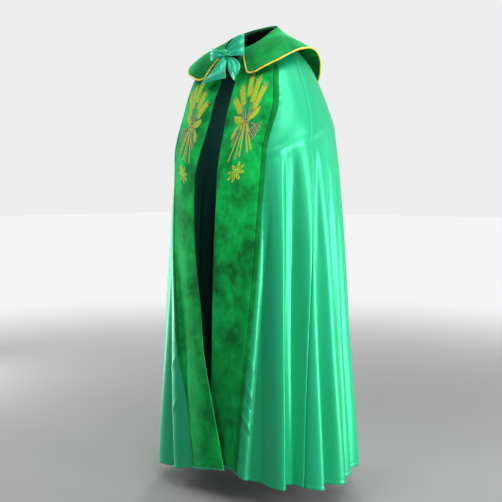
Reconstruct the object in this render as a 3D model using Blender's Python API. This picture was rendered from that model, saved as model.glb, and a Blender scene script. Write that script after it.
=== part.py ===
"""A cope: an open-fronted satin cloak with velvet bands, a wide piped collar and a ribbon bow.

Metres, +Z up. The wearer would face -Y, with the wearer's left at +X. The origin is the middle of
the neck opening, where the garment is held. Heights in the tables are above the level of the hem.
"""

import math
from collections import namedtuple

import bpy
import numpy as np

NECK_HEIGHT = 1.400          # from the hem up to the origin
TILT_DROP = 0.12             # above this drop the rings tilt like flat hoops
SEAM_GAP = 0.0003            # between two pieces that are sewn together
SATIN_WALL = 0.0013          # satin with its backing
BAND_WALL = 0.0016           # velvet of the front bands
STRIP_WALL = 0.0022          # folded velvet edging beside each band
COLLAR_WALL = 0.0026         # interfaced velvet collar
RIBBON_WALL = 0.0012         # satin ribbon of the bow
BAND_WIDTH = 0.134
STRIP_WIDTH = 0.016
HEM_SHOWING = 0.008          # satin that shows below the foot of a band
PIPING_RADIUS = 0.0028
BAND_COLUMNS = 4
STRIP_COLUMNS = 1
FRONT_COLUMNS = 20           # satin between a band and the side seam
BACK_COLUMNS = 80            # satin between the two side seams
LAP_RISE = 0.020             # how far the lapped fronts stand apart from their middle surface
LAP_TOP, LAP_FULL = 0.56, 0.22
LAP_REACH = 42.0             # degrees either side of the front

LEFT, RIGHT = 1, -1

# One row for each level ring from the neck to the hem. drop is the share of the way down the cloth;
# half_width, front and back are distances from the axis; front_round and back_round say how square
# the ring is, 2 being an ellipse; rows is the number of wall rows down to the next ring.
Ring = namedtuple(
    "Ring",
    "name drop half_width front back front_round back_round front_height side_height back_height rows",
)
RINGS = (
    Ring("neckline", 0.00, 0.085, 0.090, 0.090, 2.0, 2.0, 1.355, 1.422, 1.465, 1),
    Ring("neck_base", 0.03, 0.122, 0.104, 0.116, 2.2, 2.2, 1.325, 1.388, 1.425, 2),
    Ring("shoulder", 0.09, 0.184, 0.116, 0.148, 2.5, 2.4, 1.250, 1.338, 1.340, 1),
    Ring("shoulder_round", 0.12, 0.207, 0.140, 0.170, 2.5, 2.6, 1.200, 1.296, 1.290, 2),
    Ring("upper_arm", 0.20, 0.250, 0.168, 0.203, 2.3, 2.7, 1.120, 1.190, 1.190, 2),
    Ring("crest", 0.27, 0.275, 0.222, 0.228, 2.1, 2.7, 0.950, 1.090, 1.100, 3),
    Ring("waist", 0.43, 0.279, 0.230, 0.232, 2.0, 2.6, 0.780, 0.850, 0.850, 4),
    Ring("thigh", 0.68, 0.284, 0.214, 0.238, 2.0, 2.5, 0.460, 0.480, 0.480, 5),
    Ring("hem", 1.00, 0.310, 0.205, 0.268, 2.0, 2.4, 0.000, 0.000, 0.000, 0),
)

# Where the front edges and the side seams run, in degrees from the front towards the wearer's left.
# band_share narrows the bands where they run in under the collar.
EdgeLine = namedtuple("EdgeLine", "drop left_edge right_edge left_seam right_seam band_share")
EDGE_LINES = (
    EdgeLine(0.00, 18.0, -18.0, 88.0, -88.0, 0.56),
    EdgeLine(0.03, 17.0, -17.0, 88.0, -88.0, 0.80),
    EdgeLine(0.09, 15.5, -15.5, 87.0, -87.0, 1.14),
    EdgeLine(0.20, 12.5, -12.5, 85.0, -85.0, 1.24),
    EdgeLine(0.27, 12.7, -12.7, 82.0, -83.0, 1.20),
    EdgeLine(0.43, 11.3, -11.5, 79.0, -81.0, 1.05),
    EdgeLine(0.68, 4.5, -6.0, 74.5, -77.0, 1.00),
    EdgeLine(0.84, -3.5, 7.0, 72.5, -75.0, 1.00),
    EdgeLine(1.00, -11.0, 18.0, 71.0, -73.0, 1.00),
)

# One row for each fold: its crest's angle where it starts and at the hem, half its width in degrees,
# how far it stands out at the hem, and the height at which it starts.
Fold = namedtuple("Fold", "top_angle hem_angle half_width depth start")
FOLDS = (
    Fold(50.0, 34.0, 10.0, 0.016, 0.98),
    Fold(60.0, 58.5, 9.8, 0.052, 1.05),
    Fold(79.0, 78.5, 9.4, 0.060, 1.08),
    Fold(94.0, 95.0, 8.0, 0.057, 1.09),
    Fold(105.0, 106.5, 7.0, 0.046, 1.09),
    Fold(118.5, 119.5, 9.0, 0.056, 1.09),
    Fold(136.0, 141.0, 11.0, 0.064, 1.12),
    Fold(159.0, 163.5, 11.5, 0.052, 1.16),
    Fold(182.0, 186.5, 11.5, 0.066, 1.18),
    Fold(205.0, 209.0, 11.0, 0.054, 1.15),
    Fold(227.0, 231.5, 11.5, 0.064, 1.11),
    Fold(250.0, 254.5, 11.5, 0.060, 1.09),
    Fold(268.0, 277.0, 11.0, 0.054, 1.08),
    Fold(287.0, 299.0, 11.5, 0.064, 1.04),
    Fold(302.0, 323.0, 12.0, 0.034, 0.96),
)

FOLD_SPAN = 0.82             # share of a fold's half width that each flank takes
FOLD_LEAN = 0.42             # share moved from the rear flank to the front one, at the sides
FOLD_GROWTH = 0.7
SLOW_START = 0.05
VALLEY_ROUND = 0.16
RIDGE_FULL = math.sqrt(1.0 + VALLEY_ROUND**2) - VALLEY_ROUND

# How far the hem hangs from level, by angle. The right front is lifted where it laps over the left.
HemLevel = namedtuple("HemLevel", "angle rise")
HEM_LEVELS = (
    HemLevel(-180.0, 0.000),
    HemLevel(-120.0, -0.020),
    HemLevel(-65.0, -0.046),
    HemLevel(-18.0, 0.000),
    HemLevel(18.0, 0.026),
    HemLevel(40.0, 0.004),
    HemLevel(65.0, 0.000),
    HemLevel(100.0, -0.014),
    HemLevel(125.0, 0.000),
    HemLevel(180.0, 0.000),
)

# The collar's lower edge, by angle from the front: its distance from the axis and its height.
CollarEdge = namedtuple("CollarEdge", "angle reach height")
COLLAR_EDGE = (
    CollarEdge(38.0, 0.164, 1.272),
    CollarEdge(60.0, 0.212, 1.310),
    CollarEdge(82.0, 0.233, 1.352),
    CollarEdge(97.0, 0.228, 1.362),
    CollarEdge(121.0, 0.227, 1.340),
    CollarEdge(146.0, 0.232, 1.284),
    CollarEdge(180.0, 0.236, 1.240),
    CollarEdge(214.0, 0.232, 1.284),
)
COLLAR_NECK_ANGLE = 26.0     # where the collar's front edge leaves the neckline
COLLAR_COLUMNS = 44
COLLAR_ROWS = 5
COLLAR_BULGE = 0.006         # how far the collar rounds up between its two edges, at the front
BACK_BULGE = 0.001           # and at the back
COLLAR_STAND = 0.006         # the collar's seam sits this far above the neckline
CORNER_SPAN = 9.0            # degrees over which the front corner is rounded
CORNER_CUT = 0.14            # share of the collar's depth that the rounding takes off
CORNER_COLUMNS = 3
PIPING_STATIONS = 7          # along each front edge of the collar

KNOT_CENTRE = (0.0, -0.124, -0.050)
KNOT_SIZE = (0.009, 0.009, 0.012)
KNOT_PINCH = 0.28            # share of its width that the knot loses at its ends
KNOT_COLUMNS, KNOT_ROWS = 10, 5

# A bow loop as the ribbon runs out along its front and back along its rear, from the knot:
# out is to the loop's own side, forward is towards -Y, top and bottom are the ribbon's two edges.
LoopStation = namedtuple("LoopStation", "out forward top bottom")
LOOP_RUN = (
    LoopStation(0.011, 0.006, 0.010, -0.008),
    LoopStation(0.028, 0.012, 0.026, -0.012),
    LoopStation(0.052, 0.013, 0.042, -0.015),
    LoopStation(0.074, 0.009, 0.049, -0.016),
    LoopStation(0.081, 0.005, 0.048, -0.016),
    LoopStation(0.074, 0.001, 0.045, -0.015),
    LoopStation(0.052, -0.001, 0.036, -0.013),
    LoopStation(0.028, -0.002, 0.020, -0.010),
    LoopStation(0.011, -0.003, 0.008, -0.007),
)
LEFT_LOOP_SCALE = (1.00, 1.00, 1.00)
RIGHT_LOOP_SCALE = (0.76, 0.90, 0.42)

# A bow tail from the knot down: the ribbon's two edges and how far forward it lies.
TailStation = namedtuple("TailStation", "x_outer z_outer x_inner z_inner forward")
RIGHT_TAIL = (
    TailStation(-0.009, -0.013, 0.007, -0.014, 0.002),
    TailStation(-0.028, -0.034, 0.013, -0.036, 0.012),
    TailStation(-0.048, -0.056, 0.018, -0.058, 0.020),
    TailStation(-0.066, -0.075, 0.021, -0.071, 0.024),
    TailStation(-0.083, -0.091, 0.020, -0.082, 0.026),
)
LEFT_TAIL = (
    TailStation(0.017, -0.012, 0.009, -0.014, 0.001),
    TailStation(0.046, -0.022, 0.013, -0.030, 0.006),
    TailStation(0.066, -0.040, 0.024, -0.054, 0.011),
    TailStation(0.073, -0.058, 0.035, -0.076, 0.014),
    TailStation(0.066, -0.072, 0.050, -0.094, 0.016),
)
TAIL_CURL = 0.007            # how far the middle of a tail bows forward
RIBBON_SHARES = (0.0, 0.33, 0.67, 1.0)
TIE_HALF_WIDTH = 0.008
TIE_ROOT_ANGLE = 20.0        # where each tie ribbon is sewn to the neckline
TIE_ROOT_STAND = 0.0048      # from the satin out to the middle of the tie ribbon
TIE_KNOT_OUT, TIE_KNOT_UP = 0.006, -0.004    # where a tie meets the rear of the knot
TIE_ROWS = 4

SATIN_GREEN = (0.045, 0.52, 0.30, 1.0)
VELVET_GREEN = (0.008, 0.26, 0.045, 1.0)
COLLAR_GREEN = (0.010, 0.29, 0.055, 1.0)
PIPING_GOLD = (0.78, 0.50, 0.06, 1.0)
BOW_GREEN = (0.08, 0.56, 0.36, 1.0)


def clear_scene():
    for thing in list(bpy.data.objects):
        bpy.data.objects.remove(thing, do_unlink=True)


def make_material(name, colour, roughness):
    material = bpy.data.materials.new(name)
    material.use_nodes = True
    shader = material.node_tree.nodes["Principled BSDF"]
    shader.inputs["Base Color"].default_value = colour
    shader.inputs["Roughness"].default_value = roughness
    shader.inputs["Metallic"].default_value = 0.0
    return material


def smooth_value(places, values, place):
    """A curve through the given values that never overshoots them."""
    last = len(places) - 1
    if place <= places[0]:
        return values[0]
    if place >= places[last]:
        return values[last]
    slopes = [(values[k + 1] - values[k]) / (places[k + 1] - places[k]) for k in range(last)]

    def tangent(k):
        if k in (0, last):
            return slopes[min(k, last - 1)]
        before, after = slopes[k - 1], slopes[k]
        return 0.0 if before * after <= 0 else 2 * before * after / (before + after)

    k = max(j for j in range(last) if places[j] <= place)
    span = places[k + 1] - places[k]
    t = (place - places[k]) / span
    return (
        (2 * t**3 - 3 * t**2 + 1) * values[k]
        + (t**3 - 2 * t**2 + t) * span * tangent(k)
        + (3 * t**2 - 2 * t**3) * values[k + 1]
        + (t**3 - t**2) * span * tangent(k + 1)
    )


def column_at(table, place_column, value_column, place):
    places = [getattr(row, place_column) for row in table]
    values = [getattr(row, value_column) for row in table]
    return smooth_value(places, values, place)


def ease(t):
    t = min(max(t, 0.0), 1.0)
    return t * t * (3 - 2 * t)


def wrapped(angle):
    return (angle + 180.0) % 360.0 - 180.0


def fold_rise(angle, height):
    """How far the folds push the cloth out: round ridges that fall off more steeply at the rear."""
    rise = 0.0
    for fold in FOLDS:
        grown = min((fold.start - height) / fold.start, 1.0)
        if grown <= 0:
            continue
        crest = fold.top_angle + (fold.hem_angle - fold.top_angle) * grown
        away = wrapped(angle - crest) / fold.half_width
        lean = FOLD_LEAN * math.sin(math.radians(fold.top_angle))
        span = FOLD_SPAN - lean if away > 0 else FOLD_SPAN + lean
        if abs(away) < span:
            arch = math.cos(0.5 * math.pi * away / span)
            profile = (math.sqrt(arch**2 + VALLEY_ROUND**2) - VALLEY_ROUND) / RIDGE_FULL
            growth = math.sin(0.5 * math.pi * grown**2 / (grown + SLOW_START)) ** FOLD_GROWTH
            rise += fold.depth * growth * profile
    return rise


def lap_rise(side, angle, height):
    """The right front stands out and the left front tucks in where the two lap."""
    if side == 0 or abs(wrapped(angle)) > LAP_REACH:
        return 0.0
    low = ease((LAP_TOP - height) / (LAP_TOP - LAP_FULL))
    near = math.cos(0.5 * math.pi * wrapped(angle) / LAP_REACH) ** 2
    return -side * LAP_RISE * low * near


def ring_values(drop):
    names = ("half_width", "front", "back", "front_round", "back_round",
             "front_height", "side_height", "back_height")
    return [column_at(RINGS, "drop", name, drop) for name in names]


ring_store = {}


def surface_point(side, angle, drop):
    """A point of the satin's outer face. side is LEFT, RIGHT, or 0 for the back."""
    if drop not in ring_store:
        ring_store[drop] = ring_values(drop)
    half_width, front, back, front_round, back_round, front_up, side_up, back_up = ring_store[drop]
    turn = math.radians(angle)
    across, along = abs(math.sin(turn)), math.cos(turn)
    depth, roundness, end_up = (
        (front, front_round, front_up) if along > 0 else (back, back_round, back_up)
    )
    reach = (
        (across / half_width) ** roundness + (abs(along) / depth) ** roundness
    ) ** (-1.0 / roundness)
    flatness = 1.0 + ease(drop / TILT_DROP)
    height = side_up + (end_up - side_up) * abs(along) ** flatness
    reach += fold_rise(angle, height) + lap_rise(side, angle, height)
    level = column_at(HEM_LEVELS, "angle", "rise", wrapped(angle))
    height += level * ease(drop) ** 2
    return np.array(
        (reach * math.sin(turn), -reach * math.cos(turn), height - NECK_HEIGHT)
    )


def surface_normal(side, angle, drop):
    step_angle, step_drop = 0.4, 0.004
    lower, upper = min(drop + step_drop, 1.0), max(drop - step_drop, 0.0)
    round_way = surface_point(side, angle + step_angle, drop) - surface_point(
        side, angle - step_angle, drop
    )
    up_way = surface_point(side, angle, upper) - surface_point(side, angle, lower)
    normal = np.cross(round_way, up_way)
    return normal / np.linalg.norm(normal)


def angle_after(side, start, drop, lengths):
    """The angles that lie the given lengths along the cloth from a front edge."""
    share = column_at(EDGE_LINES, "drop", "band_share", drop)
    lengths = [length * share for length in lengths]
    step = 1.0 * side
    angles, reached = [start], [0.0]
    here = surface_point(side, start, drop)
    while reached[-1] < max(lengths):
        angles.append(angles[-1] + step)
        there = surface_point(side, angles[-1], drop)
        reached.append(reached[-1] + float(np.linalg.norm(there - here)))
        here = there
    return [float(np.interp(length, reached, angles)) for length in lengths]


def row_drops():
    """The drops of the wall rows, with one row where the bands end above the hem."""
    drops = []
    for upper, lower in zip(RINGS, RINGS[1:]):
        drops += [
            upper.drop + (lower.drop - upper.drop) * k / upper.rows for k in range(upper.rows)
        ]
    return drops + [1.0 - HEM_SHOWING / NECK_HEIGHT, 1.0]


def band_lengths(first, last, columns):
    return [first + (last - first) * k / columns for k in range(columns + 1)]


def grid_of(side, drops, angles_of):
    """Points and normals of a patch: a row for each drop, a column for each angle."""
    points, normals = [], []
    for drop in drops:
        angles = angles_of(drop)
        points.append([surface_point(side, angle, drop) for angle in angles])
        normals.append([surface_normal(side, angle, drop) for angle in angles])
    return np.array(points), np.array(normals)


def wall_object(name, outer, inner, material):
    """One closed wall between two grids of the same size, its faces pointing out."""
    rows, columns = outer.shape[:2]
    count = rows * columns
    vertices = np.concatenate([outer.reshape(-1, 3), inner.reshape(-1, 3)])

    def at(layer, row, column):
        return layer * count + row * columns + column

    faces = []
    for row in range(rows - 1):
        for column in range(columns - 1):
            near, far = (row, column), (row + 1, column + 1)
            for corners in ((near, (row + 1, column), far), (near, far, (row, column + 1))):
                faces.append([at(0, *corner) for corner in corners])
                faces.append([at(1, *corner) for corner in reversed(corners)])
    rim = [(0, column) for column in range(columns)]
    rim += [(row, columns - 1) for row in range(1, rows)]
    rim += [(rows - 1, column) for column in range(columns - 2, -1, -1)]
    rim += [(row, 0) for row in range(rows - 2, 0, -1)]
    for here, there in zip(rim, rim[1:] + rim[:1]):
        faces.append([at(0, *here), at(0, *there), at(1, *there), at(1, *here)])
    mesh = bpy.data.meshes.new(name)
    mesh.from_pydata([tuple(vertex) for vertex in vertices], [], faces)
    mesh.validate()
    corners = np.array([vertices[polygon.vertices[0]] for polygon in mesh.polygons])
    outwards = np.array([tuple(polygon.normal * polygon.area) for polygon in mesh.polygons])
    if (corners * outwards).sum() < 0:
        mesh.flip_normals()
    mesh.shade_smooth()
    mesh.materials.append(material)
    made = bpy.data.objects.new(name, mesh)
    bpy.context.scene.collection.objects.link(made)
    return made


def edge_angle(side, drop):
    column = "left_edge" if side == LEFT else "right_edge"
    return column_at(EDGE_LINES, "drop", column, drop)


def seam_angle(side, drop):
    column = "left_seam" if side == LEFT else "right_seam"
    return column_at(EDGE_LINES, "drop", column, drop)


def seam_step(drop):
    """Half a seam gap, in degrees, on the ring at this drop."""
    return math.degrees(0.5 * SEAM_GAP / ring_values(drop)[0])


def front_panel(side, name, material):
    """The satin front from its edge, under the band, to the side seam."""
    lengths = band_lengths(0.0, BAND_WIDTH, BAND_COLUMNS)[:-1]
    lengths += band_lengths(BAND_WIDTH, BAND_WIDTH + STRIP_WIDTH, STRIP_COLUMNS)

    def angles_of(drop):
        angles = angle_after(side, edge_angle(side, drop), drop, lengths)
        end = seam_angle(side, drop) - side * seam_step(drop)
        start = angles[-1]
        angles += [
            start + (end - start) * k / FRONT_COLUMNS for k in range(1, FRONT_COLUMNS + 1)
        ]
        return angles

    points, normals = grid_of(side, row_drops(), angles_of)
    return wall_object(name, points, points - normals * SATIN_WALL, material)


def back_panel(name, material):
    def angles_of(drop):
        step = seam_step(drop)
        start = seam_angle(LEFT, drop) + step
        end = seam_angle(RIGHT, drop) + 360.0 - step
        return [start + (end - start) * k / BACK_COLUMNS for k in range(BACK_COLUMNS + 1)]

    points, normals = grid_of(0, row_drops(), angles_of)
    return wall_object(name, points, points - normals * SATIN_WALL, material)


def laid_on_front(side, name, first, last, columns, wall, material):
    """A piece that lies on a front panel, between two lengths from the front edge."""
    drops = row_drops()[:-1]

    def angles_of(drop):
        return angle_after(
            side, edge_angle(side, drop), drop, band_lengths(first, last, columns)
        )

    points, normals = grid_of(side, drops, angles_of)
    under = points + normals * SEAM_GAP
    return wall_object(name, under + normals * wall, under, material)


def collar_edge_angle(share):
    """The angle of the collar's front edge at a share of its depth."""
    return COLLAR_NECK_ANGLE + (COLLAR_EDGE[0].angle - COLLAR_NECK_ANGLE) * share


def collar_depth(beyond):
    """The share of the collar's depth at its lower edge, this far beyond the front edge."""
    if beyond >= CORNER_SPAN:
        return 1.0
    away = 1.0 - beyond / CORNER_SPAN
    return 1.0 - CORNER_CUT * (1.0 - math.sqrt(1.0 - away * away))


def collar_point(across, share):
    """A point of the collar's middle surface. across runs 0 to 2, from the left front corner round
    the back to the right one; share runs from the neck to the lower edge."""
    side = LEFT if across <= 1.0 else RIGHT
    along = across if across <= 1.0 else 2.0 - across
    from_edge = (180.0 - COLLAR_EDGE[0].angle) * along
    share = share * collar_depth(from_edge)
    start = collar_edge_angle(share)
    angle = start + (180.0 - start) * along
    edge_place = COLLAR_EDGE[0].angle + from_edge
    reach = column_at(COLLAR_EDGE, "angle", "reach", edge_place)
    height = column_at(COLLAR_EDGE, "angle", "height", edge_place)
    neck = surface_point(0, side * angle, 0.0)
    neck_reach = math.hypot(neck[0], neck[1])
    neck_height = neck[2] + NECK_HEIGHT + COLLAR_STAND
    bulge = (COLLAR_BULGE + (BACK_BULGE - COLLAR_BULGE) * along) * math.sin(math.pi * share)
    out = neck_reach + (reach - neck_reach) * share + 0.5 * bulge
    up = neck_height + (height - neck_height) * share + bulge
    turn = math.radians(angle)
    return np.array((side * out * math.sin(turn), -out * math.cos(turn), up - NECK_HEIGHT))


def collar_normal(across, share):
    step = 0.004
    round_way = collar_point(min(across + step, 2.0), share) - collar_point(
        max(across - step, 0.0), share
    )
    down_way = collar_point(across, min(share + step, 1.0)) - collar_point(
        across, max(share - step, 0.0)
    )
    normal = np.cross(down_way, round_way)
    return normal / np.linalg.norm(normal)


def collar_places():
    """The columns of the collar, closer together at its two rounded corners."""
    corner = CORNER_SPAN / (180.0 - COLLAR_EDGE[0].angle)
    near = [corner * (k / CORNER_COLUMNS) ** 1.6 for k in range(CORNER_COLUMNS)]
    middle = np.linspace(corner, 2.0 - corner, COLLAR_COLUMNS + 1 - 2 * CORNER_COLUMNS)
    return near + [float(place) for place in middle] + [2.0 - place for place in reversed(near)]


def make_collar(material):
    shares = [k / COLLAR_ROWS for k in range(COLLAR_ROWS + 1)]
    points = np.array([[collar_point(c, s) for c in collar_places()] for s in shares])
    normals = np.array([[collar_normal(c, s) for c in collar_places()] for s in shares])
    half = 0.5 * COLLAR_WALL
    return wall_object("collar", points + normals * half, points - normals * half, material)


def make_piping(material):
    """A round cord sewn along the collar's front edges, corners and lower edge."""
    shares = [k / PIPING_STATIONS for k in range(1, PIPING_STATIONS)]
    border = [(0.0, share) for share in shares]
    border += [(place, 1.0) for place in collar_places()]
    border += [(2.0, share) for share in reversed(shares)]
    points = np.array([collar_point(*place) for place in border])
    before = np.concatenate([points[:1], points[:-1]])
    after = np.concatenate([points[1:], points[-1:]])
    path = []
    for point, previous, following, place in zip(points, before, after, border):
        outwards = np.cross(following - previous, collar_normal(*place))
        outwards /= np.linalg.norm(outwards)
        path.append(point + outwards * (PIPING_RADIUS + 2 * SEAM_GAP))
    curve = bpy.data.curves.new("collar_piping", "CURVE")
    curve.dimensions = "3D"
    curve.bevel_depth = PIPING_RADIUS
    curve.bevel_resolution = 2
    curve.use_fill_caps = True
    spline = curve.splines.new("POLY")
    spline.points.add(len(path) - 1)
    for point, place in zip(spline.points, path):
        point.co = (*place, 1.0)
    curve.materials.append(material)
    made = bpy.data.objects.new("collar_piping", curve)
    bpy.context.scene.collection.objects.link(made)
    return made


def ribbon_object(name, rows, material):
    """A ribbon's wall from rows of points across it."""
    middle = np.array(rows)
    along = np.gradient(middle, axis=0)
    across = np.gradient(middle, axis=1)
    normals = np.cross(along, across)
    normals /= np.linalg.norm(normals, axis=2, keepdims=True)
    half = 0.5 * RIBBON_WALL
    return wall_object(name, middle + normals * half, middle - normals * half, material)


def bow_loop(name, side, scale, material):
    rows = []
    for station in LOOP_RUN:
        row = []
        for share in RIBBON_SHARES:
            up = station.top + (station.bottom - station.top) * share
            row.append(
                (
                    KNOT_CENTRE[0] + side * station.out * scale[0],
                    KNOT_CENTRE[1] - station.forward * scale[1],
                    KNOT_CENTRE[2] + up * (scale[2] if up > 0 else 1.0),
                )
            )
        rows.append(row)
    return ribbon_object(name, rows, material)


def bow_tail(name, stations, material):
    rows = []
    for number, station in enumerate(stations):
        curl = TAIL_CURL * number / (len(stations) - 1)
        row = []
        for share in RIBBON_SHARES:
            row.append(
                (
                    KNOT_CENTRE[0] + station.x_outer + (station.x_inner - station.x_outer) * share,
                    KNOT_CENTRE[1] - station.forward - curl * math.sin(math.pi * share),
                    KNOT_CENTRE[2] + station.z_outer + (station.z_inner - station.z_outer) * share,
                )
            )
        rows.append(row)
    return ribbon_object(name, rows, material)


def bow_knot(material):
    """The knot: a small pinched barrel."""
    across, rows = KNOT_COLUMNS, KNOT_ROWS
    vertices, faces = [], []
    for row in range(rows + 1):
        up = -1.0 + 2.0 * row / rows
        pinch = 1.0 - KNOT_PINCH * (1.0 - math.sqrt(1.0 - 0.9 * up * up))
        for column in range(across):
            turn = 2 * math.pi * column / across
            vertices.append(
                (
                    KNOT_CENTRE[0] + KNOT_SIZE[0] * pinch * math.cos(turn),
                    KNOT_CENTRE[1] + KNOT_SIZE[1] * pinch * math.sin(turn),
                    KNOT_CENTRE[2] + KNOT_SIZE[2] * up,
                )
            )
    for row in range(rows):
        for column in range(across):
            following = (column + 1) % across
            faces.append(
                (
                    row * across + column,
                    row * across + following,
                    (row + 1) * across + following,
                    (row + 1) * across + column,
                )
            )
    faces.append(tuple(range(across - 1, -1, -1)))
    faces.append(tuple(rows * across + column for column in range(across)))
    mesh = bpy.data.meshes.new("bow_knot")
    mesh.from_pydata(vertices, [], faces)
    mesh.shade_smooth()
    mesh.materials.append(material)
    made = bpy.data.objects.new("bow_knot", mesh)
    bpy.context.scene.collection.objects.link(made)
    return made


def neck_tie(name, side, material):
    """The ribbon's hidden stretch from the neckline to the knot."""
    root = surface_point(side, side * TIE_ROOT_ANGLE, 0.0) + surface_normal(
        side, side * TIE_ROOT_ANGLE, 0.0
    ) * TIE_ROOT_STAND
    behind = (side * TIE_KNOT_OUT, KNOT_SIZE[1] + RIBBON_WALL, TIE_KNOT_UP)
    knot = np.array(KNOT_CENTRE) + np.array(behind)
    rows = []
    for k in range(TIE_ROWS):
        middle = root + (knot - root) * k / (TIE_ROWS - 1)
        rows.append([middle + np.array((0.0, 0.0, up * TIE_HALF_WIDTH)) for up in (0.5, 0.0, -0.5)])
    return ribbon_object(name, rows, material)


def main():
    clear_scene()
    satin = make_material("satin", SATIN_GREEN, 0.32)
    velvet = make_material("velvet", VELVET_GREEN, 0.85)
    collar_velvet = make_material("collar_velvet", COLLAR_GREEN, 0.85)
    gold = make_material("piping_gold", PIPING_GOLD, 0.45)
    ribbon = make_material("bow_satin", BOW_GREEN, 0.28)
    back_panel("back", satin)
    for side, word in ((LEFT, "left"), (RIGHT, "right")):
        front_panel(side, f"front_{word}", satin)
        laid_on_front(
            side, f"band_{word}", 0.0, BAND_WIDTH - 0.5 * SEAM_GAP, BAND_COLUMNS, BAND_WALL, velvet
        )
        laid_on_front(
            side,
            f"strip_{word}",
            BAND_WIDTH + 0.5 * SEAM_GAP,
            BAND_WIDTH + STRIP_WIDTH,
            STRIP_COLUMNS,
            STRIP_WALL,
            velvet,
        )
        neck_tie(f"tie_{word}", side, ribbon)
    make_collar(collar_velvet)
    make_piping(gold)
    bow_knot(ribbon)
    bow_loop("bow_loop_left", LEFT, LEFT_LOOP_SCALE, ribbon)
    bow_loop("bow_loop_right", RIGHT, RIGHT_LOOP_SCALE, ribbon)
    bow_tail("bow_tail_left", LEFT_TAIL, ribbon)
    bow_tail("bow_tail_right", RIGHT_TAIL, ribbon)


main()
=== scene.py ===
import math
from collections import namedtuple

import bpy
import numpy as np
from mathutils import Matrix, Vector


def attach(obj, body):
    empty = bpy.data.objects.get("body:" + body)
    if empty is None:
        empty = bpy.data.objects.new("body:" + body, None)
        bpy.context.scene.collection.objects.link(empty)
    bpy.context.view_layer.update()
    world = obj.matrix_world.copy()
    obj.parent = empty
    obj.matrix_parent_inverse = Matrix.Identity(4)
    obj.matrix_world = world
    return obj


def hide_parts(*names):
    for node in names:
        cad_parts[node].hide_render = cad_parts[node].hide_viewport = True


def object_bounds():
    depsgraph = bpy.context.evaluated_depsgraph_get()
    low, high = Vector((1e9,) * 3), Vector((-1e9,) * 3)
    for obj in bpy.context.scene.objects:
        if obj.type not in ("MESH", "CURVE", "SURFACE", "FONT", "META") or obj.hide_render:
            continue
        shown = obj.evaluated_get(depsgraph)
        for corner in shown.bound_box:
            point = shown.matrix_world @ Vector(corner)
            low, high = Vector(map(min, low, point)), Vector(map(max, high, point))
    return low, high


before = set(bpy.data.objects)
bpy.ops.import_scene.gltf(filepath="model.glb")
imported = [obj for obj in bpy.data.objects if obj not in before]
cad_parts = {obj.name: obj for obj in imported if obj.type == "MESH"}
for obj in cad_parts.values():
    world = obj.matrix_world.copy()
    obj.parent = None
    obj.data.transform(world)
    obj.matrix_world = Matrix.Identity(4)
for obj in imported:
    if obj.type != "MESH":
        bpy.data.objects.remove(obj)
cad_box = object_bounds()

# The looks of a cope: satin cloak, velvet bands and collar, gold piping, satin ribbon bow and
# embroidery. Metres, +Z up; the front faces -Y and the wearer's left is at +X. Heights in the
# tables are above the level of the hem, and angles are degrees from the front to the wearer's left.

LEFT, BACK, RIGHT = 1, 0, -1

# Sizes of the garment, as in the part.
NECK_HEIGHT = 1.400
TILT_DROP = 0.12
SEAM_GAP = 0.0003
LAID_LIFT = 0.0005
SATIN_WALL = 0.0013
BAND_WALL = 0.0016
STRIP_WALL = 0.0022
COLLAR_WALL = 0.0026
RIBBON_WALL = 0.0008
BAND_WIDTH = 0.134
STRIP_WIDTH = 0.016
HEM_SHOWING = 0.008
PIPING_RADIUS = 0.0028
LAP_RISE = 0.020
LAP_TOP, LAP_FULL = 0.56, 0.22
LAP_REACH = 42.0

Ring = namedtuple(
    "Ring",
    "name drop half_width front back front_round back_round front_height side_height back_height",
)
RINGS = (
    Ring("neckline", 0.00, 0.085, 0.090, 0.090, 2.0, 2.0, 1.355, 1.422, 1.465),
    Ring("neck_base", 0.03, 0.122, 0.104, 0.116, 2.2, 2.2, 1.325, 1.388, 1.425),
    Ring("shoulder", 0.09, 0.184, 0.116, 0.148, 2.5, 2.4, 1.250, 1.338, 1.340),
    Ring("shoulder_round", 0.12, 0.207, 0.140, 0.170, 2.5, 2.6, 1.200, 1.296, 1.290),
    Ring("upper_arm", 0.20, 0.250, 0.168, 0.203, 2.3, 2.7, 1.120, 1.190, 1.190),
    Ring("crest", 0.27, 0.275, 0.222, 0.228, 2.1, 2.7, 0.950, 1.090, 1.100),
    Ring("waist", 0.43, 0.279, 0.230, 0.232, 2.0, 2.6, 0.780, 0.850, 0.850),
    Ring("thigh", 0.68, 0.284, 0.214, 0.238, 2.0, 2.5, 0.460, 0.480, 0.480),
    Ring("hem", 1.00, 0.310, 0.205, 0.268, 2.0, 2.4, 0.000, 0.000, 0.000),
)

EdgeLine = namedtuple("EdgeLine", "drop left_edge right_edge left_seam right_seam band_share")
EDGE_LINES = (
    EdgeLine(0.00, 18.0, -18.0, 88.0, -88.0, 0.56),
    EdgeLine(0.03, 17.0, -17.0, 88.0, -88.0, 0.80),
    EdgeLine(0.09, 15.5, -15.5, 87.0, -87.0, 1.14),
    EdgeLine(0.20, 12.5, -12.5, 85.0, -85.0, 1.24),
    EdgeLine(0.27, 12.7, -12.7, 82.0, -83.0, 1.20),
    EdgeLine(0.43, 11.3, -11.5, 79.0, -81.0, 1.05),
    EdgeLine(0.68, 4.5, -6.0, 74.5, -77.0, 1.00),
    EdgeLine(0.84, -3.5, 7.0, 72.5, -75.0, 1.00),
    EdgeLine(1.00, -11.0, 18.0, 71.0, -73.0, 1.00),
)

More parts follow.
